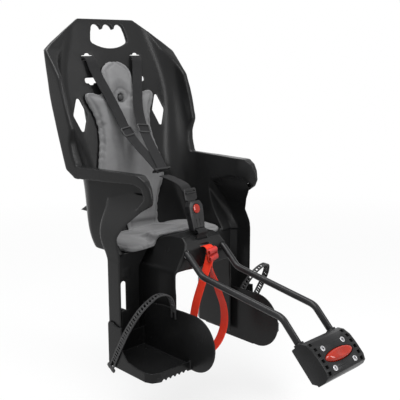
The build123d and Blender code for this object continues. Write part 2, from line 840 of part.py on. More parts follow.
ring_dir = Vector(0, -0.58, -0.81)
ring_frame = Plane(origin=ring_at + Vector(0, -0.5, -0.9), x_dir=(1, 0, 0), z_dir=ring_dir)
ring_face = RectangleRounded(web_width + 22, 19, 5) - RectangleRounded(web_width + 14, 11, 2.5)
strap_ring = ring_frame * extrude(ring_face, amount=2, both=True)

# Buckle with its tongue, release button and spring
buckle_plane = Plane(
    origin=(0, buckle_y, buckle_z),
    x_dir=(1, 0, 0),
    z_dir=(0, -math.cos(math.radians(buckle_tilt)), math.sin(math.radians(buckle_tilt))),
)
buckle_line = [
    (-buckle_half + 4, -42),
    (buckle_half - 4, -42),
    (buckle_half, 4),
    (buckle_half, 18),
    (buckle_half - 7, 29),
    (-buckle_half + 7, 29),
    (-buckle_half, 18),
    (-buckle_half, 4),
]
buckle_face = fillet(make_face(Polyline(*[(x, y, 0) for x, y in buckle_line], close=True)).vertices(), 4)
buckle_body = extrude(Pos(0, 0, -buckle_thick - 1) * buckle_face, amount=2 * buckle_thick + 1)
press_edges = [
    ThreePointArc((10, 11, 0), (0, 22, 0), (-10, 11, 0)),
    ThreePointArc((-10, 11, 0), (0, 0, 0), (10, 11, 0)),
]
press_face = make_face(Wire(press_edges))
press_floor = press_foot - press_travel - press_under
arch = offset(press_face, 4) - offset(press_face, 1.2)
arch = arch & Pos(0, 20) * Rectangle(60, 40)
buckle_body = buckle_body + extrude(Pos(0, 0, buckle_thick - 0.5) * arch, amount=1.5)
buckle_body = buckle_body - extrude(Pos(0, 0, press_floor) * offset(press_face, press_gap), amount=30)
for x in (-5, 5):
    buckle_body = buckle_body - box(x - 1, x + 1, -32, -14, buckle_thick - 1.2, 20)
for x in (-1, 1):
    buckle_body = buckle_body - box(x * buckle_half, x * (buckle_half - 3), -16, 2, -4, 4)
tongue_out = -4.2
tongue_room = box(-13, 13, 4, 40, tongue_out - tongue_thick - 0.3, tongue_out + 0.3)
buckle_body = buckle_body - tongue_room
buckle_body = buckle_body - box(-web_width / 2 - 1, web_width / 2 + 1, -38, -34, -20, 20)
buckle_body = buckle_plane * buckle_body
buckle_button = extrude(Pos(0, 0, press_foot) * press_face, amount=7.2, taper=4)
buckle_button = buckle_plane * (buckle_button - Pos(0, 8, 2) * Cylinder(4.4, 6))
buckle_spring = buckle_plane * Pos(0, 8, -2.4) * coil(3.2, 0.5, 6.8, 4)
tongue_face = box(-12.5, 12.5, 6, 34, tongue_out - tongue_thick, tongue_out)
tongue_head = extrude(RectangleRounded(web_width + 10, 28, 5), amount=tongue_thick)
tongue_head = Pos(0, 46, tongue_out - tongue_thick) * tongue_head
tongue_slot = box(-web_width / 2 - 1, web_width / 2 + 1, 48, 55, -30, 30)
buckle_tongue = buckle_plane * (tongue_face + tongue_head - tongue_slot)

slot_mid = buckle_plane.from_local_coords((0, 51.5, tongue_out - tongue_thick / 2))
lap_points = [
    (0, ring_at.Y - 9, ring_at.Z - 13),
    (0, 474, 317),
    (0, 430, 306),
    (0, slot_mid.Y + 8, slot_mid.Z + 2),
    (0, slot_mid.Y - 7, slot_mid.Z - 2),
]
buckle_strap = ribbon(lap_points, web_width, web_thick, count=9)
low_mid = buckle_plane.from_local_coords((0, -36, 0))
crotch_points = [
    (0, low_mid.Y + 13, low_mid.Z - 1.5),
    (0, low_mid.Y, low_mid.Z),
    (0, low_mid.Y - 14, low_mid.Z + 1),
    (0, low_mid.Y - 19, low_mid.Z - 6),
    (0, crotch_slot_y, nose_top + 1),
    (0, crotch_slot_y + 0.6, nose_top - 6),
    (0, crotch_slot_y + 1, nose_top - 10.9),
]
crotch_strap = ribbon(crotch_points, web_width, web_thick, count=15)
slot_half = strap_slot_width / 2
crotch_cut = box(-slot_half, slot_half, crotch_slot_y - 4, crotch_slot_y + 4, nose_top - 16, nose_top + 10)
safety_half = safety_width / 2 + 2
safety_low = safety_slot_z - 2.1
safety_high = safety_slot_z + 3.5
safety_cut = box(-safety_half, safety_half, nose_front_y - 5, nose_front_y + 8, safety_low, safety_high)
shell = shell - crotch_cut - safety_cut

# Safety strap: out of the nose, through its slider and round in a hanging loop
safety_points = [
    (0, nose_front_y + 10, safety_slot_z - 6),
    (0, nose_front_y - 2, safety_slot_z),
    (0, nose_front_y - 12, safety_slot_z - 1),
    (1, nose_front_y - 19, safety_slot_z - 12),
    (3, nose_front_y - 20, safety_slot_z - 30),
    (12, nose_front_y - 18, 112),
    (34, nose_front_y - 18, 62),
    (47, nose_front_y - 18, 12),
    (45, nose_front_y - 18, -32),
    (24, nose_front_y - 18, -68),
    (-10, nose_front_y - 18, -82),
    (-44, nose_front_y - 18, -62),
    (-58, nose_front_y - 18, -16),
    (-50, nose_front_y - 18, 40),
    (-26, nose_front_y - 18, 98),
    (-9, nose_front_y - 18, 136),
]


def safety_frames():
    path = Spline(*safety_points)
    frames = []
    for i in range(33):
        t = i / 32
        blend = max(0.0, min(1.0, (t - 0.06) / 0.12))
        hint = Vector(1 - blend, blend, 0)
        along = path.tangent_at(t)
        width_dir = (hint - along * hint.dot(along)).normalized()
        frames.append(Plane(origin=path.position_at(t), x_dir=width_dir, z_dir=along))
    return frames


safety_strap = loft([frame * Rectangle(safety_width, web_thick) for frame in safety_frames()])
safety_room = loft([frame * Rectangle(safety_width + 1.4, web_thick + 1) for frame in safety_frames()[:8]])
safety_slider = slider(safety_frames()[2]) - safety_room

# Retaining bars sewn into the hidden ends of the webbing
anchor_ends = [
    (ribbon_frames(left_line, (1, 0, 0), 9)[0], -1),
    (ribbon_frames(right_line, (1, 0, 0), 9)[0], -1),
    (ribbon_frames(crotch_points, (1, 0, 0), 9)[-1], 1),
    (safety_frames()[0], -1),
]
anchors = Part()
for frame, side in anchor_ends:
    bar_end = frame * Pos(0, 0, side * (anchor_size / 2 + 0.1))
    anchors = anchors + bar_end * Box(slot_width + 8, anchor_size, anchor_size)

# Footrest of the child's left side, the other is its mirror image
floor_low = foot_floor - foot_wall
skirt_foot = floor_low - foot_skirt
shoe_in = leg_outer + foot_gap
shoe_out = shoe_in + foot_wall
floor_line = [
    (foot_inner, foot_back_y + foot_wall),
    (leg_outer - 20, foot_back_y + foot_wall),
    (shoe_out, leg_panel_y - 14),
    (shoe_out, foot_front_y + 24),
    (shoe_out - 7, foot_front_y + 8),
    (shoe_out - 24, foot_front_y),
    (foot_inner, foot_front_y),
]
floor_face = make_face(Polyline(*[(x, y, floor_low) for x, y in floor_line], close=True))
floor = extrude(floor_face, amount=foot_wall)
lip_face = Pos(0, 0, -foot_skirt) * (floor_face - offset(floor_face, -foot_wall))
lip = extrude(lip_face, amount=foot_skirt + foot_wall + foot_lip)
lip = lip & box(foot_inner, shoe_out + 1, 200, foot_outer_front, skirt_foot, 0)
outer_profile = [
    (leg_panel_y - 14, skirt_foot),
    (leg_panel_y - 14, foot_outer_top - 6),
    (leg_panel_y - 18, foot_outer_top),
    (leg_panel_y - 32, foot_outer_top),
    (leg_panel_y - 40, foot_outer_top - 4),
    (foot_outer_front + 12, foot_outer_top - 6),
    (foot_outer_front, foot_outer_top - 4),
    (foot_outer_front - 2, -38),
    (foot_outer_front - 18, -55),
    (foot_outer_front - 55, foot_floor + foot_lip),
    (foot_front_y + 24, foot_floor + foot_lip),
    (foot_front_y + 24, skirt_foot),
]
outer_wall = extrude(Pos(shoe_in, 0, 0) * side_shape(outer_profile), amount=foot_wall)
ear_profile = side_shape(
    [
        (foot_back_y + foot_wall, floor_low),
        (foot_back_y + foot_wall, ear_z + ear_r - 12),
        (foot_back_y - 70, ear_z + ear_r - 2),
        (ear_y, ear_z + ear_r),
        (ear_y, ear_z - ear_r),
        (foot_front_y + 24, ear_z - ear_r),
        (foot_front_y + 30, floor_low),
    ]
)
ear_face = ear_profile + side_plane * Pos(ear_y, ear_z) * Circle(ear_r)
ear = extrude(Pos(foot_inner, 0, 0) * ear_face, amount=foot_wall)
back_wall = box(foot_inner, leg_outer - 22, foot_back_y, foot_back_y + foot_wall, floor_low, foot_back_top)
foot_back_rear = foot_back_y + foot_wall
peg_top = peg_z + peg_height
tongue = box(slot_leg_x - 12, slot_leg_x + 12, foot_back_y, foot_back_rear, foot_back_top - 1, peg_top + 6)
peg_half = slot_leg_width / 2 - 0.5
leg_panel_rear = leg_panel_y + wall
peg = box(slot_leg_x - peg_half, slot_leg_x + peg_half, foot_back_y, leg_panel_rear + 4, peg_z, peg_top)
footrest = floor + lip + outer_wall + ear + back_wall + tongue + peg
for i in range(4):
    x = foot_inner + 20 + i * tread_pitch
    bead = Rot(90, 0, 0) * Cylinder(tread_r, 430 - foot_front_y)
    bead = Pos(x, (foot_front_y + 430) / 2, floor_low - 1) * bead
    footrest = footrest + (bead & box(0, 300, 200, 500, floor_low - 20, floor_low + 1))
for i in range(notch_count):
    notch = Pos(foot_inner + 16 + i * notch_pitch, foot_front_y + foot_wall / 2, skirt_foot)
    footrest = footrest - notch * Rot(90, 0, 0) * Cylinder(notch_r, foot_wall + 2)
knob_y = leg_panel_rear + 0.8 + knob_depth / 2
knob_z = peg_z + peg_height / 2
knob = Pos(slot_leg_x, knob_y, knob_z) * Rot(90, 0, 0) * Cylinder(knob_r, knob_depth)
peg_room = peg_half + 0.1
knob = knob - box(
    slot_leg_x - peg_room, slot_leg_x + peg_room, 0, leg_panel_rear + 4.2, peg_z - 0.1, peg_top + 0.1
)
for i in range(8):
    a = math.radians(i * 45)
    groove = Pos(slot_leg_x + knob_r * math.cos(a), knob_y, knob_z + knob_r * math.sin(a))
    knob = knob - groove * Rot(90, 0, 0) * Cylinder(2.4, knob_depth + 2)

# Ladder straps from the outer wall over the foot to the ear; the left one bows further out
ladder_bow = [(0, 0), (0, 0), (0, 0), (1, 0), (6, -4), (14, -8), (16, -8), (8, -4), (0, 0)]
ladder_points = [
    (shoe_out + 2.6, 440, -92),
    (shoe_out + 2.6, 424, -64),
    (shoe_out + 2.4, 404, -28),
    (shoe_out - 2, 372, 28),
    (197, 348, 74),
    (166, 336, 97),
    (134, 338, 88),
    (114, 345, 56),
    (foot_inner + foot_wall + 2.2, 349, 26),
]


def ladder_strap(lean):
    points = [(x + lean * dx, y + lean * dy, z) for (x, y, z), (dx, dy) in zip(ladder_points, ladder_bow)]
    band = ribbon(points, ladder_width, ladder_thick, across_dir=(0, 1, 0), count=17)
    steps = ribbon_frames(points, (0, 1, 0), 2 * ladder_holes + 9)
    band = band - [step * Box(ladder_hole, 12, 3.2) for step in steps[8:-6:2]]
    tab = steps[1] * Box(ladder_width + 12, ladder_thick + 1.8, 9)
    return band + tab


ladder_left = ladder_strap(1)
ladder_right = mirror_x(ladder_strap(0))

nodes = {
    "seat_shell": shell,
    "seat_pad": pad,
    "pad_button": pad_button,
    "carrier_bar": bar,
    "bar_plate": plate,
    "bar_plate_bolts": plate_bolts,
    "clamp_body": block,
    "clamp_jaw": jaw,
    "clamp_bolts": bolts,
    "clamp_nuts": nuts,
    "release_button": button,
    "release_latch": latch,
    "release_spring": release_spring,
    "shoulder_strap_left": strap_left,
    "shoulder_strap_right": strap_right,
    "strap_slider_left": slider_left,
    "strap_slider_right": slider_right,
    "strap_ring": strap_ring,
    "buckle_strap": buckle_strap,
    "buckle_tongue": buckle_tongue,
    "buckle_body": buckle_body,
    "buckle_button": buckle_button,
    "buckle_spring": buckle_spring,
    "crotch_strap": crotch_strap,
    "safety_strap": safety_strap,
    "safety_slider": safety_slider,
    "strap_anchors": anchors,
    "footrest_left": footrest,
    "footrest_right": mirror_x(footrest),
    "footrest_knob_left": knob,
    "footrest_knob_right": mirror_x(knob),
    "ladder_strap_left": ladder_left,
    "ladder_strap_right": ladder_right,
}
for name, shape in nodes.items():
    export_step(shape, f"parts/{name}.step")
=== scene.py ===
import bpy
import bmesh
import math
import numpy as np
from mathutils import Vector, Matrix, kdtree, noise


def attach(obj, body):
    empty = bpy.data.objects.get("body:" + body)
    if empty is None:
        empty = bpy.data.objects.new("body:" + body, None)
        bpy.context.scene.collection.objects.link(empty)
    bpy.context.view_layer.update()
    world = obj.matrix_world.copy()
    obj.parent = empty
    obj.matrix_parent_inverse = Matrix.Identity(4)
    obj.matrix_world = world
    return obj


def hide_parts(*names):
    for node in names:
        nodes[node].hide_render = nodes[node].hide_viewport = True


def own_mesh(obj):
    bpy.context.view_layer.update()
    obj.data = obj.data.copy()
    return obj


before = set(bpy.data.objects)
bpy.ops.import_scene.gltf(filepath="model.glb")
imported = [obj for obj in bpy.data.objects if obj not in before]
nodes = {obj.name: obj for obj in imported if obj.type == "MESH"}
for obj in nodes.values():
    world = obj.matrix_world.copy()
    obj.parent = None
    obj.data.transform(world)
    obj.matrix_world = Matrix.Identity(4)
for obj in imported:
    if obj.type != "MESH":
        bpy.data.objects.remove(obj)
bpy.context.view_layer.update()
print("stage: CAD frame loaded")


# materials

cloudSpan = (0.3, 0.7)
noiseSizes = {"rough": 0.55, "plastic": 4.0, "metal": 5.0, "foam": 5.0, "webbing": 4.0, "grain": 2.0,
              "foamGrain": 3.0}
mixSockets = {"factor": 0, "first": 6, "second": 7, "result": 2}


def clearTree(owner, outputKind):
    owner.use_nodes = True
    tree = owner.node_tree
    tree.nodes.clear()
    return tree, tree.nodes.new(outputKind).inputs["Surface"]


def newMaterial(name):
    material = bpy.data.materials.new(name)
    tree, surface = clearTree(material, "ShaderNodeOutputMaterial")
    shader = tree.nodes.new("ShaderNodeBsdfPrincipled")
    tree.links.new(shader.outputs["BSDF"], surface)
    return material, tree, shader


def feed(tree, socket, value):
    if isinstance(value, bpy.types.NodeSocket):
        tree.links.new(value, socket)
    else:
        socket.default_value = value


def noiseNode(tree, vector, scale, detail):
    node = tree.nodes.new("ShaderNodeTexNoise")
    for label, value in (("Scale", scale), ("Detail", detail), ("Roughness", noiseSizes["rough"]),
                         ("Vector", vector)):
        feed(tree, node.inputs[label], value)
    return node.outputs["Fac"]


def rampNode(tree, value, stops):
    node = tree.nodes.new("ShaderNodeValToRGB")
    elements = node.color_ramp.elements
    for index, (position, colour) in ((0, stops[0]), (1, stops[-1])):
        elements[index].position, elements[index].color = position, (*colour, 1.0)
    for position, colour in stops[1:-1]:
        elements.new(position).color = (*colour, 1.0)
    feed(tree, node.inputs["Fac"], value)
    return node.outputs["Color"]


def rangeNode(tree, value, low, high, span=cloudSpan):
    node = tree.nodes.new("ShaderNodeMapRange")
    for label, number in (("From Min", span[0]), ("From Max", span[1]), ("To Min", low), ("To Max", high)):
        feed(tree, node.inputs[label], number)
    feed(tree, node.inputs["Value"], value)
    return node.outputs["Result"]


def mathNode(tree, kind, first, second=0.0):
    node = tree.nodes.new("ShaderNodeMath")
    node.operation = kind
    feed(tree, node.inputs[0], first)
    feed(tree, node.inputs[1], second)
    return node.outputs["Value"]


def mixColour(tree, factor, first, second):
    node = tree.nodes.new("ShaderNodeMix")
    node.data_type = "RGBA"
    for label, value in (("factor", factor), ("first", first), ("second", (*second, 1.0))):
        feed(tree, node.inputs[mixSockets[label]], value)
    return node.outputs[mixSockets["result"]]


def attributeNode(tree, name):
    node = tree.nodes.new("ShaderNodeAttribute")
    node.attribute_name = name
    return node.outputs["Fac"]


def plainCoords(tree):
    return tree.nodes.new("ShaderNodeTexCoord").outputs["Object"]


def cloudColour(tree, cloud, look):
    return rampNode(tree, cloud, ((cloudSpan[0], look["dark"]), (cloudSpan[1], look["light"])))


def setRoughness(tree, shader, value, look):
    feed(tree, shader.inputs["Roughness"], rangeNode(tree, value, *look["rough"]))


def setBump(tree, shader, height, look):
    node = tree.nodes.new("ShaderNodeBump")
    for label, value in (("Strength", look["bump"]), ("Distance", look["depth"]), ("Height", height)):
        feed(tree, node.inputs[label], value)
    feed(tree, shader.inputs["Normal"], node.outputs["Normal"])


def plasticMaterial(name, look):
    material, tree, shader = newMaterial(name)
    coords = plainCoords(tree)
    cloud = noiseNode(tree, coords, look["cloud"], noiseSizes["plastic"])
    # convex edges take the pale tone: partly wear, partly a painted highlight that draws light lines along the edges
    wearAndHighlight = mathNode(tree, "MULTIPLY", attributeNode(tree, "edgeWearAndHighlight"), look["wearAndHighlight"])
    feed(tree, shader.inputs["Base Color"], mixColour(tree, wearAndHighlight, cloudColour(tree, cloud, look), look["paleTone"]))
    setRoughness(tree, shader, cloud, look)
    setBump(tree, shader, noiseNode(tree, coords, look["grain"], noiseSizes["grain"]), look)
    shader.inputs["Specular IOR Level"].default_value = look["specular"]
    return material


def metalMaterial(name, look):
    material, tree, shader = newMaterial(name)
    coords = plainCoords(tree)
    cloud = noiseNode(tree, coords, look["cloud"], noiseSizes["metal"])
    feed(tree, shader.inputs["Base Color"], cloudColour(tree, cloud, look))
    shader.inputs["Metallic"].default_value = 1.0
    setRoughness(tree, shader, cloud, look)
    setBump(tree, shader, noiseNode(tree, coords, look["grain"], noiseSizes["grain"]), look)
    return material


def foamMaterial(name, look):
    material, tree, shader = newMaterial(name)
    coords = plainCoords(tree)
    cloud = noiseNode(tree, coords, look["cloud"], noiseSizes["foam"])
    grain = noiseNode(tree, coords, look["grain"], noiseSizes["foamGrain"])
    # painted shade: the pressed border and the creases are painted darker through the foldShade attribute
    colour = mixColour(tree, attributeNode(tree, "foldShade"), cloudColour(tree, cloud, look), look["shade"])
    feed(tree, shader.inputs["Base Color"], colour)
    setRoughness(tree, shader, grain, look)
    shader.inputs["Sheen Weight"].default_value = look["sheen"]
    shader.inputs["Sheen Roughness"].default_value = look["sheenRough"]
    shader.inputs["Specular IOR Level"].default_value = look["specular"]
    setBump(tree, shader, grain, look)
    return material


def webbingMaterial(name, look):
    material, tree, shader = newMaterial(name)
    uv = tree.nodes.new("ShaderNodeUVMap")
    uv.uv_map = "weave"
    split = tree.nodes.new("ShaderNodeSeparateXYZ")
    tree.links.new(uv.outputs["UV"], split.inputs["Vector"])
    along, across = split.outputs["Y"], split.outputs["X"]
    # a diagonal step between neighbouring yarns gives the herringbone of woven tape
    yarn = mathNode(tree, "SINE", mathNode(tree, "MULTIPLY", across, look["yarns"] * math.tau))
    step = mathNode(tree, "PINGPONG", mathNode(tree, "MULTIPLY", across, look["bands"]), 0.5)
    pick = mathNode(tree, "ADD", mathNode(tree, "MULTIPLY", along, look["picks"] * math.tau),
                    mathNode(tree, "MULTIPLY", step, look["slant"]))
    weave = mathNode(tree, "MULTIPLY", mathNode(tree, "SINE", pick), yarn)
    level = rangeNode(tree, weave, 0.0, 1.0, (-1.0, 1.0))
    cloud = noiseNode(tree, plainCoords(tree), look["cloud"], noiseSizes["webbing"])
    colour = rampNode(tree, level, ((0.0, look["dark"]), (0.55, look["middle"]), (1.0, look["light"])))
    # the tape fades to its pale tone in patches
    colour = mixColour(tree, rangeNode(tree, cloud, 0.0, look["fade"]), colour, look["paleTone"])
    feed(tree, shader.inputs["Base Color"], colour)
    setRoughness(tree, shader, cloud, look)
    shader.inputs["Specular IOR Level"].default_value = look["specular"]
    shader.inputs["Sheen Weight"].default_value = look["sheen"]
    setBump(tree, shader, level, look)
    return material


shellPlastic = plasticMaterial("shellPlastic", {
    "dark": (0.0096, 0.0097, 0.0099), "light": (0.0118, 0.0119, 0.0121), "paleTone": (0.070, 0.071, 0.072),
    "wearAndHighlight": 0.55, "cloud": 9.0, "grain": 1500.0, "bump": 0.2, "depth": 0.0005, "rough": (0.23, 0.28),
    "specular": 0.16})
footPlastic = plasticMaterial("footPlastic", {
    "dark": (0.0080, 0.0081, 0.0083), "light": (0.0098, 0.0099, 0.0101), "paleTone": (0.065, 0.066, 0.067),
    "wearAndHighlight": 0.6, "cloud": 14.0, "grain": 1300.0, "bump": 0.2, "depth": 0.0005, "rough": (0.24, 0.28),
    "specular": 0.14})
padFoam = foamMaterial("padFoam", {
    "dark": (0.118, 0.118, 0.120), "light": (0.158, 0.158, 0.160), "shade": (0.060, 0.060, 0.0615),
    "cloud": 22.0, "grain": 900.0, "bump": 0.3, "depth": 0.0006, "rough": (0.62, 0.8), "sheen": 0.15,
    "sheenRough": 0.6, "specular": 0.3})
rodCoat = plasticMaterial("rodCoat", {
    "dark": (0.0105, 0.0105, 0.0112), "light": (0.0150, 0.0150, 0.0158), "paleTone": (0.06, 0.06, 0.06),
    "wearAndHighlight": 0.0, "cloud": 30.0, "grain": 2600.0, "bump": 0.02, "depth": 0.0002, "rough": (0.26, 0.34),
    "specular": 0.2})
clampPlastic = plasticMaterial("clampPlastic", {
    "dark": (0.010, 0.0102, 0.0106), "light": (0.0145, 0.0147, 0.0152), "paleTone": (0.07, 0.07, 0.072),
    "wearAndHighlight": 0.5, "cloud": 40.0, "grain": 2200.0, "bump": 0.25, "depth": 0.0003, "rough": (0.26, 0.36),
    "specular": 0.13})
zincSteel = metalMaterial("zincSteel", {
    "dark": (0.34, 0.34, 0.35), "light": (0.46, 0.46, 0.47), "cloud": 120.0, "grain": 3000.0, "bump": 0.1,
    "depth": 0.0001, "rough": (0.26, 0.4)})
redPlastic = plasticMaterial("redPlastic", {
    "dark": (0.29, 0.012, 0.003), "light": (0.35, 0.017, 0.004), "paleTone": (0.45, 0.05, 0.025), "wearAndHighlight": 0.4,
    "cloud": 60.0, "grain": 2500.0, "bump": 0.05, "depth": 0.0001, "rough": (0.08, 0.13), "specular": 0.34})
darkWebbing = webbingMaterial("darkWebbing", {
    "dark": (0.005, 0.005, 0.0054), "middle": (0.010, 0.010, 0.0104), "light": (0.019, 0.019, 0.0197),
    "paleTone": (0.022, 0.022, 0.0228), "fade": 0.5, "yarns": 14.0, "bands": 4.0, "picks": 620.0, "slant": 9.0,
    "cloud": 35.0, "rough": (0.6, 0.75), "specular": 0.12, "sheen": 0.02, "bump": 0.35, "depth": 0.0005})
redWebbing = webbingMaterial("redWebbing", {
    "dark": (0.50, 0.016, 0.006), "middle": (0.66, 0.026, 0.009), "light": (0.76, 0.045, 0.018),
    "paleTone": (0.72, 0.055, 0.022), "fade": 0.4, "yarns": 12.0, "bands": 4.0, "picks": 620.0, "slant": 9.0,
    "cloud": 35.0, "rough": (0.5, 0.66), "specular": 0.22, "sheen": 0.0, "bump": 0.35, "depth": 0.0005})
foldWebbing = webbingMaterial("foldWebbing", {
    "dark": (0.28, 0.012, 0.010), "middle": (0.42, 0.024, 0.021), "light": (0.54, 0.045, 0.040),
    "paleTone": (0.50, 0.050, 0.045), "fade": 0.4, "yarns": 12.0, "bands": 4.0, "picks": 620.0, "slant": 9.0,
    "cloud": 35.0, "rough": (0.34, 0.46), "specular": 0.3, "sheen": 0.0, "bump": 0.3, "depth": 0.0004})
bucklePlastic = plasticMaterial("bucklePlastic", {
    "dark": (0.011, 0.011, 0.0115), "light": (0.016, 0.016, 0.0165), "paleTone": (0.07, 0.07, 0.07),
    "wearAndHighlight": 0.45, "cloud": 70.0, "grain": 2600.0, "bump": 0.15, "depth": 0.0002, "rough": (0.28, 0.38),
    "specular": 0.24})
tonguePlastic = plasticMaterial("tonguePlastic", {
    "dark": (0.010, 0.010, 0.0103), "light": (0.014, 0.014, 0.0143), "paleTone": (0.06, 0.06, 0.06),
    "wearAndHighlight": 0.45, "cloud": 70.0, "grain": 2600.0, "bump": 0.15, "depth": 0.0002, "rough": (0.3, 0.4),
    "specular": 0.22})
# the slider frames get a strong pale edge: painted highlight as well as wear
strapPlastic = plasticMaterial("strapPlastic", {
    "dark": (0.013, 0.013, 0.0135), "light": (0.019, 0.019, 0.0196), "paleTone": (0.17, 0.17, 0.17),
    "wearAndHighlight": 0.8, "cloud": 60.0, "grain": 2000.0, "bump": 0.2, "depth": 0.0003, "rough": (0.36, 0.48),
    "specular": 0.22})
buttonPlastic = plasticMaterial("buttonPlastic", {
    "dark": (0.034, 0.034, 0.035), "light": (0.043, 0.043, 0.044), "paleTone": (0.09, 0.09, 0.09), "wearAndHighlight": 0.4,
    "cloud": 90.0, "grain": 2200.0, "bump": 0.2, "depth": 0.0002, "rough": (0.45, 0.55), "specular": 0.2})
ladderPlastic = plasticMaterial("ladderPlastic", {
    "dark": (0.024, 0.024, 0.0246), "light": (0.034, 0.034, 0.0348), "paleTone": (0.15, 0.15, 0.15),
    "wearAndHighlight": 0.6, "cloud": 60.0, "grain": 2000.0, "bump": 0.2, "depth": 0.0003, "rough": (0.34, 0.46),
    "specular": 0.24})
print("stage: materials made")


# helpers for meshes

meshSizes = {"weldAt": 2e-5, "tiny": 1e-9, "still": 1e-4, "pull": 0.5}
bevelSizes = {"flat": 0.6, "steps": 2, "limit": 32.0, "sharp": 42.0, "wearAndHighlight": (0.12, 0.5)}


def fadeIn(values, start, reach):
    return np.clip((values - start) / reach, 0, 1)


def bell(values, middle, width):
    return np.exp(-((values - middle) / width) ** 2)


def place(mesh, name):
    piece = bpy.data.objects.new(name, mesh)
    bpy.context.scene.collection.objects.link(piece)
    return piece


def newMesh(name, points, faces):
    mesh = bpy.data.meshes.new(name)
    mesh.from_pydata([tuple(point) for point in points], [], faces)
    return mesh


def ringFaces(size, pairs, turned=False):
    # quads between pairs of rings; each ring holds size points from its given start
    faces = []
    for low, high in pairs:
        for step in range(size):
            following = (step + 1) % size
            corners = (low + step, low + following, high + following, high + step)
            faces.append((corners[0], *corners[:0:-1]) if turned else corners)
    return faces


def openMesh(mesh):
    work = bmesh.new()
    work.from_mesh(mesh)
    return work


def closeMesh(work, mesh):
    work.to_mesh(mesh)
    work.free()


def faceOutward(mesh, weldAt=0.0):
    work = openMesh(mesh)
    if weldAt:
        bmesh.ops.remove_doubles(work, verts=work.verts, dist=weldAt)
    bmesh.ops.recalc_face_normals(work, faces=work.faces)
    closeMesh(work, mesh)


def shadeSmooth(mesh, sharpAngle=0.0):
    for polygon in mesh.polygons:
        polygon.use_smooth = True
    if sharpAngle:
        mesh.set_sharp_from_angle(angle=math.radians(sharpAngle))


def mergedCopy(node, name):
    mesh = nodes[node].data.copy()
    mesh.name = name
    mesh.materials.clear()
    faceOutward(mesh, meshSizes["weldAt"])
    return place(mesh, name)


def bakeModifiers(piece):
    bpy.context.view_layer.update()
    graph = bpy.context.evaluated_depsgraph_get()
    mesh = bpy.data.meshes.new_from_object(piece.evaluated_get(graph))
    old = piece.data
    piece.modifiers.clear()
    piece.data = mesh
    mesh.name = piece.name
    bpy.data.meshes.remove(old)
    return mesh


def meshArrays(mesh):
    points = np.zeros(len(mesh.vertices) * 3)
    mesh.vertices.foreach_get("co", points)
    normals = np.zeros(len(mesh.vertices) * 3)
    mesh.vertices.foreach_get("normal", normals)
    edges = np.zeros(len(mesh.edges) * 2, dtype=np.int64)
    mesh.edges.foreach_get("vertices", edges)
    return points.reshape(-1, 3), normals.reshape(-1, 3), edges.reshape(-1, 2)


def setPoints(mesh, points):
    mesh.vertices.foreach_set("co", points.astype(np.float32).ravel())
    mesh.update()


def writeValues(mesh, name, values):
    attribute = mesh.attributes.get(name) or mesh.attributes.new(name, "FLOAT", "POINT")
    attribute.data.foreach_set("value", values.astype(np.float32))


def markWearAndHighlight(mesh, span):
    # convex edges between the two bends of the span are marked for the pale tone, which stands for wear and for a
    # painted highlight along the edges
    points, normals, edges = meshArrays(mesh)
    first, second = edges[:, 0], edges[:, 1]
    delta = points[second] - points[first]
    delta /= np.maximum(np.linalg.norm(delta, axis=1), meshSizes["tiny"])[:, None]
    size = len(points)
    bend = np.bincount(first, -np.einsum("ij,ij->i", normals[first], delta), size)
    bend += np.bincount(second, np.einsum("ij,ij->i", normals[second], delta), size)
    bend /= np.maximum(np.bincount(first, minlength=size) + np.bincount(second, minlength=size), 1)
    writeValues(mesh, "edgeWearAndHighlight", fadeIn(bend, span[0], span[1] - span[0]))


def relax(points, edges, weight, rounds):
    # only points with weight move; each goes part of the way to the middle of its neighbours
    active = np.nonzero(weight > meshSizes["still"])[0]
    slot = np.full(len(points), -1)
    slot[active] = np.arange(len(active))
    ends = np.vstack((edges, edges[:, ::-1]))
    ends = ends[slot[ends[:, 0]] >= 0]
    target, source = slot[ends[:, 0]], ends[:, 1]
    count = np.maximum(np.bincount(target, minlength=len(active)), 1)[:, None]
    points = points.copy()
    for _ in range(rounds):
        near = points[source]
        total = np.column_stack([np.bincount(target, near[:, axis], len(active)) for axis in range(3)])
        points[active] += (total / count - points[active]) * weight[active, None]
    return points


def relaxedPoints(mesh, rounds):
    points, _, edges = meshArrays(mesh)
    return relax(points, edges, np.full(len(points), meshSizes["pull"]), rounds), edges


def finishPiece(piece, material, body, node):
    piece.data.materials.clear()
    piece.data.materials.append(material)
    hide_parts(node)
    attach(piece, body)
    return piece


def bevelledCopy(node, name, width):
    piece = mergedCopy(node, name)
    work = openMesh(piece.data)
    bmesh.ops.dissolve_limit(work, angle_limit=math.radians(bevelSizes["flat"]), verts=work.verts, edges=work.edges)
    closeMesh(work, piece.data)
    bevel = piece.modifiers.new("roundedEdges", "BEVEL")
    bevel.width = width
    bevel.segments = bevelSizes["steps"]
    bevel.limit_method = "ANGLE"
    bevel.angle_limit = math.radians(bevelSizes["limit"])
    bevel.harden_normals = False
    triangles = piece.modifiers.new("triangles", "TRIANGULATE")
    triangles.quad_method = "BEAUTY"
    mesh = bakeModifiers(piece)
    shadeSmooth(mesh, bevelSizes["sharp"])
    markWearAndHighlight(mesh, bevelSizes["wearAndHighlight"])
    return piece


def smoothCopy(node, name, sharpAngle):
    piece = mergedCopy(node, name)
    shadeSmooth(piece.data, sharpAngle)
    return piece


def voxelMesh(piece, size):
    remesh = piece.modifiers.new("voxels", "REMESH")
    remesh.mode = "VOXEL"
    remesh.voxel_size = size
    return bakeModifiers(piece)


def addPlate(work, outline, low, high):
    bottom, top = ([work.verts.new((x, y, z)) for x, y in outline] for z in (low, high))
    work.faces.new(bottom[::-1])
    work.faces.new(top)
    for index in range(len(outline)):
        work.faces.new((bottom[index - 1], bottom[index], top[index], top[index - 1]))


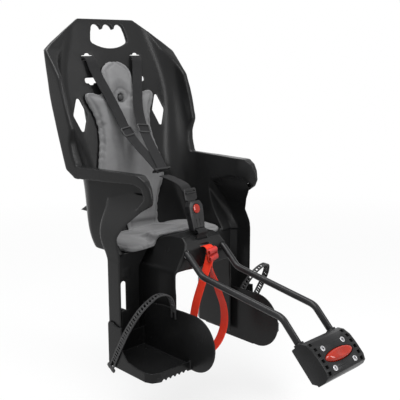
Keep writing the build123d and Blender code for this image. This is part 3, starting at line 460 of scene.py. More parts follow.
def closeThinSpots(mesh, sizes):
    work = openMesh(mesh)
    for start, end, count, radius in sizes["welds"]:
        for step in range(count):
            spot = Vector(start).lerp(Vector(end), step / max(1, count - 1))
            bmesh.ops.create_icosphere(work, subdivisions=2, radius=radius, matrix=Matrix.Translation(spot))
    for outline, low, high in sizes["plates"]:
        addPlate(work, outline, low, high)
    closeMesh(work, mesh)


def softenBoxes(points, edges, sizes):
    for low, high, fade, rounds in sizes["softBoxes"]:
        middle = (np.array(low) + np.array(high)) / 2
        half = (np.array(high) - np.array(low)) / 2
        beyond = np.max(np.abs(points - middle) - half, axis=1)
        weight = meshSizes["pull"] * np.clip(1 - beyond / fade, 0, 1)
        for spot, radius in sizes["keepSpots"]:
            weight *= np.clip(np.linalg.norm(points - np.array(spot), axis=1) / radius - 1, 0, 1)
        points = relax(points, edges, weight, rounds)
    return points


def mouldedCopy(node, name, sizes):
    piece = mergedCopy(node, name)
    # a slight swelling keeps thin walls whole in the voxels, and comes off again afterwards
    points, normals = meshArrays(piece.data)[:2]
    setPoints(piece.data, points + normals * sizes["swell"])
    closeThinSpots(piece.data, sizes)
    mesh = voxelMesh(piece, sizes["voxel"])
    points, edges = relaxedPoints(mesh, sizes["rounds"])
    setPoints(mesh, softenBoxes(points, edges, sizes))
    points, normals = meshArrays(mesh)[:2]
    setPoints(mesh, points - normals * sizes["swell"])
    markWearAndHighlight(mesh, sizes["wearAndHighlight"])
    thin = piece.modifiers.new("thin", "DECIMATE")
    thin.ratio = min(1.0, sizes["triangles"] / (2.0 * len(mesh.polygons)))
    shadeSmooth(bakeModifiers(piece))
    return piece


# shell and footrests: the hard CAD edges become the soft edges of a moulding

# regions of one side that are rounded further: low corner, high corner, fade and rounds
sideBoxes = (
    ((-0.24, 0.56, 0.55), (-0.165, 0.76, 0.66), 0.03, 50),
    ((-0.24, 0.33, 0.28), (-0.18, 0.375, 0.38), 0.02, 24),
    ((-0.235, 0.52, 0.33), (-0.185, 0.66, 0.47), 0.02, 24),
    ((-0.2, 0.405, 0.19), (-0.125, 0.49, 0.27), 0.02, 70),
    ((-0.14, 0.36, 0.09), (-0.06, 0.44, 0.17), 0.02, 40),
)
otherBoxes = tuple(((-high[0], *low[1:]), (-low[0], *high[1:]), fade, rounds) for low, high, fade, rounds in sideBoxes)
rodHoles = [((side * 0.058, 0.364, 0.167), 0.013) for side in (-1, 1)]
# beads that close the thin corners: under the armrest tip, in the calf and along the nose
thinCorners = (((0.159, 0.3715, 0.2988), (0.159, 0.3715, 0.2988), 1, 0.003),
               ((0.0955, 0.4745, 0.1265), (0.0955, 0.4745, 0.1265), 1, 0.0035),
               ((0.0710, 0.4880, 0.1620), (0.0940, 0.4880, 0.1240), 12, 0.0046),
               ((0.0900, 0.4860, 0.1260), (0.1040, 0.4860, 0.1260), 6, 0.0044))
beads = [((side * start[0], *start[1:]), (side * end[0], *end[1:]), count, radius)
         for side in (-1, 1) for start, end, count, radius in thinCorners]
# the pan runs on into its rounded rear corners
panCorner = ((0.1645, 0.498), (0.1645, 0.558), (0.160, 0.569), (0.151, 0.576), (0.140, 0.579), (0.116, 0.579),
             (0.112, 0.568), (0.130, 0.560), (0.146, 0.548), (0.152, 0.535), (0.156, 0.498))
panCorners = [([(side * x, y) for x, y in panCorner], 0.1594, 0.1646) for side in (-1, 1)]
shellSizes = {"voxel": 0.0013, "rounds": 12, "swell": 0.0006, "triangles": 190000, "wearAndHighlight": (0.10, 0.35),
              "softBoxes": sideBoxes + otherBoxes, "keepSpots": rodHoles, "welds": beads, "plates": panCorners}
seatShell = mouldedCopy("seat_shell", "seatShell", shellSizes)
finishPiece(seatShell, shellPlastic, "seat", "seat_shell")
print("stage: shell moulded", len(seatShell.data.polygons))

footSizes = {"voxel": 0.0011, "rounds": 5, "swell": 0.0003, "triangles": 90000, "wearAndHighlight": (0.10, 0.35),
             "softBoxes": (), "keepSpots": (), "welds": (), "plates": ()}
for side in ("left", "right"):
    foot = mouldedCopy("footrest_" + side, "footrest" + side.title(), footSizes)
    finishPiece(foot, footPlastic, "footrest_" + side, "footrest_" + side)
print("stage: footrests moulded")


# pad: filled by a short cloth simulation, then given its pressed border and its creases

padSizes = {"voxel": 0.0045, "rounds": 3, "shrink": 0.0012, "cap": 0.006, "mostShade": 0.8,
            "front": (0.0, -0.72, 0.69), "frontFade": (-0.1, 0.5), "rimAt": 0.35, "rimReach": 0.3,
            "border": (0.012, 0.0032), "borderDepth": 0.0013, "borderShade": 0.30,
            "roll": (0.0045, 0.0045), "rollHeight": 0.0007, "foldHeight": 0.0007, "foldScale": (38, 9, 9)}
clothSizes = {"frames": 20, "pressure": 2.2, "quality": 5, "mass": 0.3, "stretch": 20.0, "shear": 8.0,
              "bending": 1.0}
droopSizes = {"front": (0.464, -0.024), "sides": (0.06, 0.04), "top": (0.2, -0.02), "move": (0.0, 0.002, 0.008)}
creaseSizes = {"ends": 0.02, "fade": 0.6, "ridge": 0.45, "ridgeAt": 2.0, "ridgeWidth": 1.4, "shade": 0.35}
# from, to, depth and width of each crease
padCreases = (
    ((-0.055, 0.583, 0.196), (0.055, 0.582, 0.190), 0.0022, 0.0055),
    ((0.012, 0.570, 0.186), (0.062, 0.528, 0.178), 0.0016, 0.0060),
    ((-0.095, 0.548, 0.178), (-0.050, 0.520, 0.178), 0.0013, 0.0070),
    ((-0.075, 0.640, 0.396), (-0.015, 0.637, 0.388), 0.0012, 0.0050),
    ((-0.072, 0.610, 0.300), (-0.020, 0.606, 0.286), 0.0012, 0.0060),
)


def padFacing(normals):
    return fadeIn(normals @ np.array(padSizes["front"]), *padSizes["frontFade"])


def fillPad(piece):
    scene = bpy.context.scene
    mesh = piece.data
    rest, normals = meshArrays(mesh)[:2]
    start = rest - normals * padSizes["shrink"]
    setPoints(mesh, start)
    cloth = piece.modifiers.new("fill", "CLOTH")
    settings = cloth.settings
    settings.quality = clothSizes["quality"]
    settings.mass = clothSizes["mass"]
    settings.tension_stiffness = clothSizes["stretch"]
    settings.compression_stiffness = clothSizes["stretch"]
    settings.shear_stiffness = clothSizes["shear"]
    settings.bending_stiffness = clothSizes["bending"]
    settings.use_pressure = True
    settings.uniform_pressure_force = clothSizes["pressure"]
    settings.effector_weights.gravity = 0.0
    cloth.point_cache.frame_start = 1
    cloth.point_cache.frame_end = clothSizes["frames"]
    for moment in range(1, clothSizes["frames"] + 1):
        scene.frame_set(moment)
    graph = bpy.context.evaluated_depsgraph_get()
    filled = meshArrays(piece.evaluated_get(graph).data)[0]
    scene.frame_set(1)
    piece.modifiers.clear()
    move = filled - start
    size = np.linalg.norm(move, axis=1)
    move *= np.minimum(1.0, padSizes["cap"] / np.maximum(size, meshSizes["tiny"]))[:, None]
    setPoints(mesh, start + move * padFacing(normals)[:, None])


def segmentDistance(points, first, second):
    first, second = np.array(first), np.array(second)
    line = second - first
    share = np.clip((points - first) @ line / (line @ line), 0, 1)
    return np.linalg.norm(points - first - share[:, None] * line, axis=1), share


def rimDistance(points, front):
    # how far each point lies inside the pad's outline
    rim = np.nonzero(np.abs(front - padSizes["rimAt"]) < padSizes["rimReach"])[0]
    tree = kdtree.KDTree(len(rim))
    for index in rim:
        tree.insert(points[index], int(index))
    tree.balance()
    return np.array([tree.find(point)[2] for point in points])


def creasePad(mesh):
    points, normals = meshArrays(mesh)[:2]
    front = padFacing(normals)
    inward = rimDistance(points, front)
    border = bell(inward, *padSizes["border"])
    lift = padSizes["rollHeight"] * bell(inward, *padSizes["roll"]) - padSizes["borderDepth"] * border
    # the pressed border gets painted shade, and each crease below adds more painted shade in its groove
    shade = padSizes["borderShade"] * border
    for first, second, depth, width in padCreases:
        distance, share = segmentDistance(points, first, second)
        # a crease is deep in its middle, fades to both ends and throws up a soft ridge beside it
        inner = np.clip(share, creaseSizes["ends"], 1 - creaseSizes["ends"])
        along = np.sin(np.pi * inner) ** creaseSizes["fade"]
        groove = bell(distance, 0.0, width)
        ridge = bell(distance, creaseSizes["ridgeAt"] * width, creaseSizes["ridgeWidth"] * width)
        lift += along * depth * (creaseSizes["ridge"] * ridge - groove)
        shade += creaseSizes["shade"] * along * groove
    # the front corners hang over the edge of the pan
    over = fadeIn(points[:, 1], *droopSizes["front"]) * fadeIn(np.abs(points[:, 0]), *droopSizes["sides"])
    over *= fadeIn(points[:, 2], *droopSizes["top"])
    points = points - over[:, None] * np.array(droopSizes["move"])
    drift = np.array([noise.noise(Vector(spot)) for spot in points * np.array(padSizes["foldScale"])])
    lift += padSizes["foldHeight"] * drift
    setPoints(mesh, points + normals * (lift * front)[:, None])
    writeValues(mesh, "foldShade", np.clip(shade * front, 0, padSizes["mostShade"]))


seatPad = mergedCopy("seat_pad", "seatPad")
padMesh = voxelMesh(seatPad, padSizes["voxel"])
setPoints(padMesh, relaxedPoints(padMesh, padSizes["rounds"])[0])
fillPad(seatPad)
fine = seatPad.modifiers.new("fine", "SUBSURF")
fine.levels = 1
fine.render_levels = 1
padMesh = bakeModifiers(seatPad)
creasePad(padMesh)
shadeSmooth(padMesh)
finishPiece(seatPad, padFoam, "seat", "seat_pad")
print("stage: pad filled", len(padMesh.polygons))


# rigid pieces keep their CAD form, with rounded edges

rigidPieces = (
    ("bar_plate", "barPlate", 0.0008, rodCoat, "seat", "black_steel"),
    ("bar_plate_bolts", "barPlateBolts", 0.0004, zincSteel, "seat", "steel"),
    ("clamp_body", "clampBody", 0.0014, clampPlastic, "seat", "clamp_plastic"),
    ("clamp_jaw", "clampJaw", 0.0014, clampPlastic, "seat", "clamp_plastic"),
    ("clamp_bolts", "clampBolts", 0.0005, zincSteel, "seat", "steel"),
    ("clamp_nuts", "clampNuts", 0.0004, zincSteel, "seat", "steel"),
    ("strap_ring", "strapRing", 0.0009, strapPlastic, "seat", "buckle_plastic"),
    ("buckle_tongue", "buckleTongue", 0.0009, tonguePlastic, "seat", "buckle_plastic"),
    ("buckle_body", "buckleBody", 0.0012, bucklePlastic, "seat", "buckle_plastic"),
    ("buckle_button", "buckleButton", 0.0011, redPlastic, "buckle_release", "red_plastic"),
    ("footrest_knob_left", "footrestKnobLeft", 0.0010, clampPlastic, "footrest_left", "clamp_plastic"),
    ("footrest_knob_right", "footrestKnobRight", 0.0010, clampPlastic, "footrest_right", "clamp_plastic"),
)
for node, name, width, material, body, slotName in rigidPieces:
    finishPiece(bevelledCopy(node, name, width), material, body, node)
barSizes = {"sharp": 40.0}
carrierBar = smoothCopy("carrier_bar", "carrierBar", barSizes["sharp"])
finishPiece(carrierBar, rodCoat, "seat", "carrier_bar")
for node, material in (("release_latch", zincSteel), ("strap_anchors", bucklePlastic)):
    for entry in nodes[node].material_slots:
        entry.link = "OBJECT"
        entry.material = material
# a button's spring would shorten towards its fixed end as the button goes in; here each spring is only a smoothed
# copy, and its depths along the press direction are read but not used
springSharp = 60.0
springSizes = {"release": ((0.0, 0.70710678, -0.70710678), 0.004),
               "buckle": ((0.0, 0.97437006, -0.22495105), 0.003)}
for part, (inward, travel) in springSizes.items():
    spring = smoothCopy(part + "_spring", part + "Spring", springSharp)
    finishPiece(spring, zincSteel, "seat", part + "_spring")
    depths = meshArrays(spring.data)[0] @ np.array(inward)
    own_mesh(spring)
print("stage: rigid pieces rounded")


# pad button: a turned dome in the dimple of the pad

backPlane = {"origin": (0.0, 0.6845, 0.5448), "up": (0.0, 0.2385, 0.9711), "out": (0.0, -0.9711, 0.2385)}
buttonSizes = {"up": -0.048, "spokes": 40, "weldAt": 1e-6,
               "profile": ((0.0, 0.0028), (0.0025, 0.0028), (0.0078, 0.0030), (0.0083, 0.0048), (0.0083, 0.0066),
                           (0.0079, 0.0084), (0.0069, 0.0100), (0.0052, 0.0112), (0.0030, 0.0119), (0.0, 0.0121))}


def backPoint(x, up, out):
    point = Vector(backPlane["origin"]) + Vector(backPlane["up"]) * up + Vector(backPlane["out"]) * out
    return (x, point.y, point.z)


def padDome(name):
    points = []
    profile, spokes = buttonSizes["profile"], buttonSizes["spokes"]
    for radius, out in profile:
        for spoke in range(spokes):
            angle = math.tau * spoke / spokes
            points.append(backPoint(radius * math.cos(angle), buttonSizes["up"] + radius * math.sin(angle), out))
    pairs = [(ring * spokes, (ring + 1) * spokes) for ring in range(len(profile) - 1)]
    mesh = newMesh(name, points, ringFaces(spokes, pairs))
    faceOutward(mesh, buttonSizes["weldAt"])
    shadeSmooth(mesh)
    return place(mesh, name)


finishPiece(padDome("padButton"), buttonPlastic, "seat", "pad_button")


# release button: a full glossy dome with a thumb dish

releaseSizes = {"half": (0.0448, 0.0129), "foot": 0.030, "height": 0.0140, "along": 0.003, "fullness": 5,
                "slope": 0.70710678, "dish": 0.0024, "dishAt": (0.010, 0.0), "dishReach": (0.020, 0.0075),
                "rings": 22, "spokes": 72, "sharp": 60.0}


def releaseRise(x, y, share):
    (middleX, middleY), (reachX, reachY) = releaseSizes["dishAt"], releaseSizes["dishReach"]
    rise = releaseSizes["height"] * max(0.0, 1 - share ** releaseSizes["fullness"]) ** 0.5
    reach = ((x - middleX) / reachX) ** 2
    reach += ((y - middleY) / reachY) ** 2
    return max(0.0, rise - releaseSizes["dish"] * math.exp(-reach ** 2))


def releaseDome(name):
    slope, (halfX, halfY) = releaseSizes["slope"], releaseSizes["half"]
    along, out = Vector((0.0, slope, slope)), Vector((0.0, -slope, slope))
    rings, spokes = releaseSizes["rings"], releaseSizes["spokes"]
    points = []
    for ring in range(rings + 1):
        share = math.sin(math.pi / 2 * ring / rings)
        for spoke in range(spokes):
            angle = math.tau * spoke / spokes
            x, y = halfX * share * math.cos(angle), halfY * share * math.sin(angle)
            spot = Vector((x, 0, 0)) + along * (releaseSizes["along"] + y)
            points.append(spot + out * (releaseSizes["foot"] + releaseRise(x, y, share)))
    faces = ringFaces(spokes, [(ring * spokes, (ring + 1) * spokes) for ring in range(1, rings)], turned=True)
    faces.append(tuple(spokes + spoke for spoke in range(spokes)))
    faces.append(tuple(rings * spokes + spoke for spoke in reversed(range(spokes))))
    mesh = newMesh(name, points, faces)
    work = openMesh(mesh)
    loose = [vertex for vertex in work.verts if not vertex.link_faces]
    bmesh.ops.delete(work, geom=loose, context="VERTS")
    bmesh.ops.recalc_face_normals(work, faces=work.faces)
    closeMesh(work, mesh)
    shadeSmooth(mesh, releaseSizes["sharp"])
    return place(mesh, name)


finishPiece(releaseDome("releaseButton"), redPlastic, "release", "release_button")
print("stage: release button")


# webbing and other bands that follow a path

pathSizes = {"samples": 24, "levels": (((0, 1), (1, 2), (2, 3)), ((0, 2), (1, 3)), ((1, 2),))}
bandSizes = {"spread": (-1.0, -0.985, -0.93, -0.8, -0.4, 0.0, 0.4, 0.8, 0.93, 0.985, 1.0), "edge": 0.62}


def smoothPath(points, count):
    # a smooth line through the points, read off at even steps of length
    known = np.array(points, float)
    ends = np.vstack((2 * known[0] - known[1], known, 2 * known[-1] - known[-2]))
    dense = []
    for index in range(len(known) - 1):
        corners = ends[index:index + 4]
        gaps = np.maximum(np.linalg.norm(np.diff(corners, axis=0), axis=1), meshSizes["tiny"]) ** 0.5
        times = np.concatenate(([0.0], np.cumsum(gaps)))
        for moment in np.linspace(times[1], times[2], pathSizes["samples"], endpoint=False):
            row = list(corners)
            for level in pathSizes["levels"]:
                row = [row[k] + (row[k + 1] - row[k]) * ((moment - times[a]) / (times[b] - times[a]))
                       for k, (a, b) in enumerate(level)]
            dense.append(row[0])
    dense.append(known[-1])
    dense = np.array(dense)
    length = np.concatenate(([0.0], np.cumsum(np.linalg.norm(np.diff(dense, axis=0), axis=1))))
    even = np.linspace(0, length[-1], count)
    return np.column_stack([np.interp(even, length, dense[:, axis]) for axis in range(3)]), length[-1]


def pathFrames(points, count, acrossAt):
    line, length = smoothPath(points, count)
    along = np.gradient(line, axis=0)
    along /= np.linalg.norm(along, axis=1)[:, None]
    across = np.array([acrossAt(index / (count - 1)) for index in range(count)], float)
    across -= along * np.einsum("ij,ij->i", across, along)[:, None]
    across /= np.linalg.norm(across, axis=1)[:, None]
    return {"line": line, "along": along, "across": across, "face": np.cross(along, across), "length": length}


def bandPiece(name, frames, width, thick, shift=0.0, edgeBead=0.0):
    spread, edge, bead = bandSizes["spread"], bandSizes["edge"], 1.0 + edgeBead
    upper = list(zip(spread, (0.0, edge, bead, 1.0, 1.0, 1.0, 1.0, 1.0, bead, edge, 0.0)))
    ring = upper + [(s, -h) for s, h in upper[-2:0:-1]]
    rows, size = len(frames["line"]), len(ring)
    points, uvs = [], []
    for index in range(rows):
        travel = frames["length"] * index / (rows - 1)
        for s, h in ring:
            points.append(frames["line"][index] + frames["across"][index] * (shift + s * width / 2)
                          + frames["face"][index] * (h * thick / 2))
            uvs.append(((s + 1) / 2, travel))
    faces = ringFaces(size, [(index * size, (index + 1) * size) for index in range(rows - 1)])
    faces.append(tuple(reversed(range(size))))
    faces.append(tuple(range((rows - 1) * size, rows * size)))
    mesh = newMesh(name, points, faces)
    layer = mesh.uv_layers.new(name="weave")
    for loop in mesh.loops:
        layer.data[loop.index].uv = uvs[loop.vertex_index]
    faceOutward(mesh)
    for polygon in mesh.polygons:
        polygon.use_smooth = len(polygon.vertices) == 4
    return place(mesh, name)


def repeatTree():
    # a rounded block on every point, turned by the attribute that the point carries
    tree = bpy.data.node_groups.new("repeatedBlocks", "GeometryNodeTree")
    sockets = {}
    for label, kind in (("Points", "NodeSocketGeometry"), ("Block Size", "NodeSocketVector"),
                        ("Hardness", "NodeSocketFloat"), ("Finish", "NodeSocketMaterial")):
        sockets[label] = tree.interface.new_socket(label, in_out="INPUT", socket_type=kind)
    tree.interface.new_socket("Blocks", in_out="OUTPUT", socket_type="NodeSocketGeometry")
    add, join = tree.nodes.new, tree.links.new
    start, end = add("NodeGroupInput"), add("NodeGroupOutput")
    block = add("GeometryNodeMeshCube")
    rounded = add("GeometryNodeSubdivisionSurface")
    rounded.inputs["Level"].default_value = 2
    turn = add("GeometryNodeInputNamedAttribute")
    turn.data_type = "FLOAT_VECTOR"
    turn.inputs["Name"].default_value = "turn"
    rotation = add("FunctionNodeEulerToRotation")
    spread = add("GeometryNodeInstanceOnPoints")
    real, smooth, finish = (add("GeometryNodeRealizeInstances"), add("GeometryNodeSetShadeSmooth"),
                            add("GeometryNodeSetMaterial"))
    join(start.outputs["Block Size"], block.inputs["Size"])
    join(block.outputs["Mesh"], rounded.inputs["Mesh"])
    join(start.outputs["Hardness"], rounded.inputs["Edge Crease"])
    join(start.outputs["Points"], spread.inputs["Points"])
    join(rounded.outputs["Mesh"], spread.inputs["Instance"])
    join(turn.outputs["Attribute"], rotation.inputs["Euler"])
    join(rotation.outputs["Rotation"], spread.inputs["Rotation"])
    join(spread.outputs["Instances"], real.inputs["Geometry"])
    join(real.outputs["Geometry"], smooth.inputs["Geometry"])
    join(smooth.outputs["Geometry"], finish.inputs["Geometry"])
    join(start.outputs["Finish"], finish.inputs["Material"])
    join(finish.outputs["Geometry"], end.inputs["Blocks"])
    return tree, sockets


blockTree, blockSockets = repeatTree()


def repeatedBlocks(name, spots, turns, size, hardness, material):
    mesh = newMesh(name, spots, [])
    attribute = mesh.attributes.new("turn", "FLOAT_VECTOR", "POINT")
    for item, turn in zip(attribute.data, turns):
        item.vector = turn
    piece = place(mesh, name)
    modifier = piece.modifiers.new("blocks", "NODES")
    modifier.node_group = blockTree
    modifier[blockSockets["Block Size"].identifier] = size
    modifier[blockSockets["Hardness"].identifier] = hardness
    modifier[blockSockets["Finish"].identifier] = material
    bakeModifiers(piece)
    return piece


def joinInto(piece, others):
    work = openMesh(piece.data)
    for other in others:
        work.from_mesh(other.data)
        bpy.data.objects.remove(other)
    closeMesh(work, piece.data)
    return piece


def turnOf(frames, index):
    axes = Matrix((frames["across"][index], frames["face"][index], frames["along"][index])).transposed()
    return axes.to_euler()


def blocksAlong(name, lines, stations, size, hardness, material):
    spots, turns = [lines["line"][k] for k in stations], [turnOf(lines, k) for k in stations]
    return repeatedBlocks(name, spots, turns, size, hardness, material)


stitchSizes = {"pitch": 0.0034, "block": (0.0007, 0.0006, 0.0026), "hardness": 0.2}


def stitchRows(name, frames, width, thick, spans, material):
    # rows of lockstitch on both faces, counted along the strap
    spots, turns = [], []
    rows = len(frames["line"])
    for start, end, columns in spans:
        count = max(2, int((end - start) * frames["length"] / stitchSizes["pitch"]))
        for share in np.linspace(start, end, count):
            index = int(round(share * (rows - 1)))
            for column in columns:
                for side in (-1, 1):
                    spots.append(frames["line"][index] + frames["across"][index] * column * width / 2
                                 + frames["face"][index] * side * thick / 2)
                    turns.append(turnOf(frames, index))
    return repeatedBlocks(name, spots, turns, stitchSizes["block"], stitchSizes["hardness"], material)


frameShape = {"quarters": ((1, 1), (-1, 1), (-1, -1), (1, -1)), "arcPoints": 6, "arcStep": 18,
              "section": ((1, 0.5), (0.5, 1), (-0.5, 1), (-1, 0.5), (-1, -0.5), (-0.5, -1), (0.5, -1), (1, -0.5)),
              "barHeight": 0.7, "barLength": 1.5, "barHardness": 0.7, "wearAndHighlight": (0.15, 0.5)}


def openFrame(name, lines, index, sizes, material):
    # a slider: a rounded rectangular frame with a middle bar that lies under the webbing
    middle = Vector(lines["line"][index]) + Vector(lines["face"][index]) * sizes["lift"]
    across, along, face = (Vector(lines[key][index]) for key in ("across", "along", "face"))
    bar, height, corner = sizes["bar"], sizes["height"], sizes["corner"]
    halfWide, halfLong = (sizes["width"] - bar) / 2, (sizes["length"] - bar) / 2
    points = []
    for quarter, (signX, signY) in enumerate(frameShape["quarters"]):
        for step in range(frameShape["arcPoints"]):
            angle = math.radians(90 * quarter + frameShape["arcStep"] * step)
            out = Vector((math.cos(angle), math.sin(angle)))
            spot = Vector((signX * (halfWide - corner), signY * (halfLong - corner))) + out * corner
            for u, v in frameShape["section"]:
                flat = spot + out * (u * (bar / 2))
                points.append(middle + across * flat.x + along * flat.y + face * (v * (height / 2)))
    size = len(frameShape["section"])
    starts = list(range(0, len(points), size))
    pairs = zip(starts, starts[1:] + starts[:1])
    piece = place(newMesh(name, points, ringFaces(size, pairs, turned=True)), name)
    barSize = (sizes["width"] - bar, height * frameShape["barHeight"], bar * frameShape["barLength"])
    middleBar = repeatedBlocks(name + "Bar", [middle - face * sizes["drop"]], [turnOf(lines, index)], barSize,
                               frameShape["barHardness"], material)
    joinInto(piece, (middleBar,))
    faceOutward(piece.data)
    shadeSmooth(piece.data)
    markWearAndHighlight(piece.data, frameShape["wearAndHighlight"])
    return piece


# harness

harnessSizes = {"width": 0.030, "thick": 0.0019, "bead": 0.12, "steps": 170}
sliderSizes = {"width": 0.037, "length": 0.026, "bar": 0.0042, "height": 0.0042, "corner": 0.004, "lift": 0.0018,
               "drop": 0.0042}
shoulderSizes = {
    "slot": ((0.0755, 0.058, -0.016), (0.0755, 0.0595, 0.0), (0.0725, 0.050, 0.0075)),
    "chest": ((0.067, 0.680, 0.5685), (0.050, 0.6595, 0.519), (0.0345, 0.638, 0.470), (0.026, 0.608, 0.420)),
    "ring": (0.003, 0.508, 0.329), "riseFrom": 0.5685, "riseOver": 0.150, "ringRise": 1.2}


def shoulderPoints(side, rise):
    points = [backPoint(side * x, up, out) for x, up, out in shoulderSizes["slot"]]
    for x, y, z in shoulderSizes["chest"]:
        points.append((side * x, y, z + rise * (shoulderSizes["riseFrom"] - z) / shoulderSizes["riseOver"]))
    x, y, z = shoulderSizes["ring"]
    points.append((side * x, y, z + shoulderSizes["ringRise"] * rise))
    return points


def acrossX(share):
    return (1.0, 0.0, 0.0)


# node, piece, path and the stitched spans with their columns
harnessLines = (
    ("shoulder_strap_left", "shoulderStrapLeft", shoulderPoints(1, 0.003), ((0.83, 0.88, (-0.7, 0.7)),)),
    ("shoulder_strap_right", "shoulderStrapRight", shoulderPoints(-1, 0.0), ((0.83, 0.88, (-0.7, 0.7)),)),
    ("buckle_strap", "buckleStrap", ((0, 0.5015, 0.3201), (0, 0.474, 0.317), (0, 0.430, 0.306),
                                     (0, 0.4184, 0.295), (0, 0.4034, 0.291)), ((0.14, 0.40, (-0.75, 0.75)),)),
    ("crotch_strap", "crotchStrap", ((0, 0.3984, 0.2074), (0, 0.3854, 0.2089), (0, 0.3714, 0.2099),
                                     (0, 0.3664, 0.2029), (0, 0.371, 0.198), (0, 0.3716, 0.191),
                                     (0, 0.372, 0.1861)), ()),
)
strapLengths = {}
for node, name, points, spans in harnessLines:
    lines = pathFrames(points, harnessSizes["steps"], acrossX)
    strapLengths[name] = lines["length"]
    strap = bandPiece(name, lines, harnessSizes["width"], harnessSizes["thick"], edgeBead=harnessSizes["bead"])
    finishPiece(strap, darkWebbing, "seat", node)
    if name.startswith("shoulder"):
        # the slider sits at the last point above the ring
        sliderAt = int(np.argmin(np.linalg.norm(lines["line"] - np.array(points[-2]), axis=1)))
        slider = openFrame(name.replace("shoulderStrap", "strapSlider"), lines, sliderAt, sliderSizes, strapPlastic)
        finishPiece(slider, strapPlastic, "seat", node.replace("shoulder_strap", "strap_slider"))
    if spans:
        rows = stitchRows(name + "Stitches", lines, harnessSizes["width"], harnessSizes["thick"], spans, strapPlastic)
        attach(rows, "seat")
print("stage: harness woven", {key: round(value, 3) for key, value in strapLengths.items()})


# red safety strap: it leaves the nose flat, turns a quarter and hangs in a loop

safetySizes = {"width": 0.024, "thick": 0.0019, "bead": 0.12, "steps": 300, "turnFrom": 0.06, "turnOver": 0.12}
safetyPoints = (
    (0, 0.368, 0.168), (0, 0.356, 0.174), (0, 0.346, 0.173), (0.001, 0.339, 0.162), (0.003, 0.338, 0.144),
    (0.005, 0.340, 0.112), (0.0255, 0.340, 0.062), (0.0445, 0.340, 0.012), (0.045, 0.340, -0.032),
    (0.024, 0.340, -0.068), (-0.010, 0.340, -0.082), (-0.044, 0.340, -0.062), (-0.058, 0.340, -0.016),
    (-0.050, 0.340, 0.040), (-0.026, 0.340, 0.098), (-0.009, 0.340, 0.136), (-0.003, 0.341, 0.154))


def safetyAcross(share):
    blend = min(1.0, max(0.0, (share - safetySizes["turnFrom"]) / safetySizes["turnOver"]))
    return (1.0 - blend, blend, 0.0)


safetyLines = pathFrames(safetyPoints, safetySizes["steps"], safetyAcross)
safetyStrap = bandPiece("safetyStrap", safetyLines, safetySizes["width"], safetySizes["thick"],
                        edgeBead=safetySizes["bead"])
finishPiece(safetyStrap, redWebbing, "seat", "safety_strap")
wrapSizes = {"width": 0.029, "thick": 0.0018, "bead": 0.1, "steps": 60, "slider": 0.075, "rise": 0.0068,
             "rolls": ((-0.0150, -0.003), (0.0005, 0.0145)),
             "outline": ((-1.0, 0.35), (-0.55, 0.9), (0.0, 1.0), (0.55, 0.9), (1.0, 0.35), (1.0, -0.25), (0.5, -0.55),
                         (-0.5, -0.55), (-1.0, -0.25), (-1.0, 0.3))}
safetyFrame = {"width": 0.037, "length": 0.032, "bar": 0.0046, "height": 0.0046, "corner": 0.004, "lift": 0.0012,
               "drop": 0.0036}
sliderAt = int(wrapSizes["slider"] * (safetySizes["steps"] - 1))
safetySlider = openFrame("safetySlider", safetyLines, sliderAt, safetyFrame, redPlastic)
finishPiece(safetySlider, redPlastic, "seat", "safety_slider")
foldLine, foldAlong, foldFace = (Vector(safetyLines[key][sliderAt]) for key in ("line", "along", "face"))
for number, (start, end) in enumerate(wrapSizes["rolls"]):
    # the strap folded over the bars of its slider
    half, middle = (end - start) / 2, (start + end) / 2
    spots = [foldLine + foldAlong * (middle + u * half) + foldFace * (v * wrapSizes["rise"])
             for u, v in wrapSizes["outline"]]
    fold = pathFrames(spots, wrapSizes["steps"], lambda share: safetyLines["across"][sliderAt])
    name = "safetyFold" + str(number + 1)
    roll = bandPiece(name, fold, wrapSizes["width"], wrapSizes["thick"], edgeBead=wrapSizes["bead"])
    finishPiece(roll, foldWebbing, "seat", "safety_strap")
print("stage: safety strap", round(safetyLines["length"], 3))


# ladder straps of the footrests

ladderSizes = {"width": 0.016, "rail": 0.0036, "thick": 0.0028, "steps": 240, "wearAndHighlight": (0.2, 0.6),
               "rungs": 38, "rungSpan": (0.085, 0.945), "rung": (0.0125, 0.0036, 0.0036), "rungHardness": 0.75,
               "tabAt": 4, "tab": (0.028, 0.0044, 0.009), "tabHardness": 0.7}
ladderPoints = ((0.2210, 0.440, -0.092), (0.2210, 0.424, -0.064), (0.2208, 0.404, -0.028), (0.2164, 0.372, 0.028),
                (0.197, 0.348, 0.074), (0.166, 0.336, 0.097), (0.134, 0.338, 0.088), (0.114, 0.345, 0.056),
                (0.1084, 0.349, 0.026))
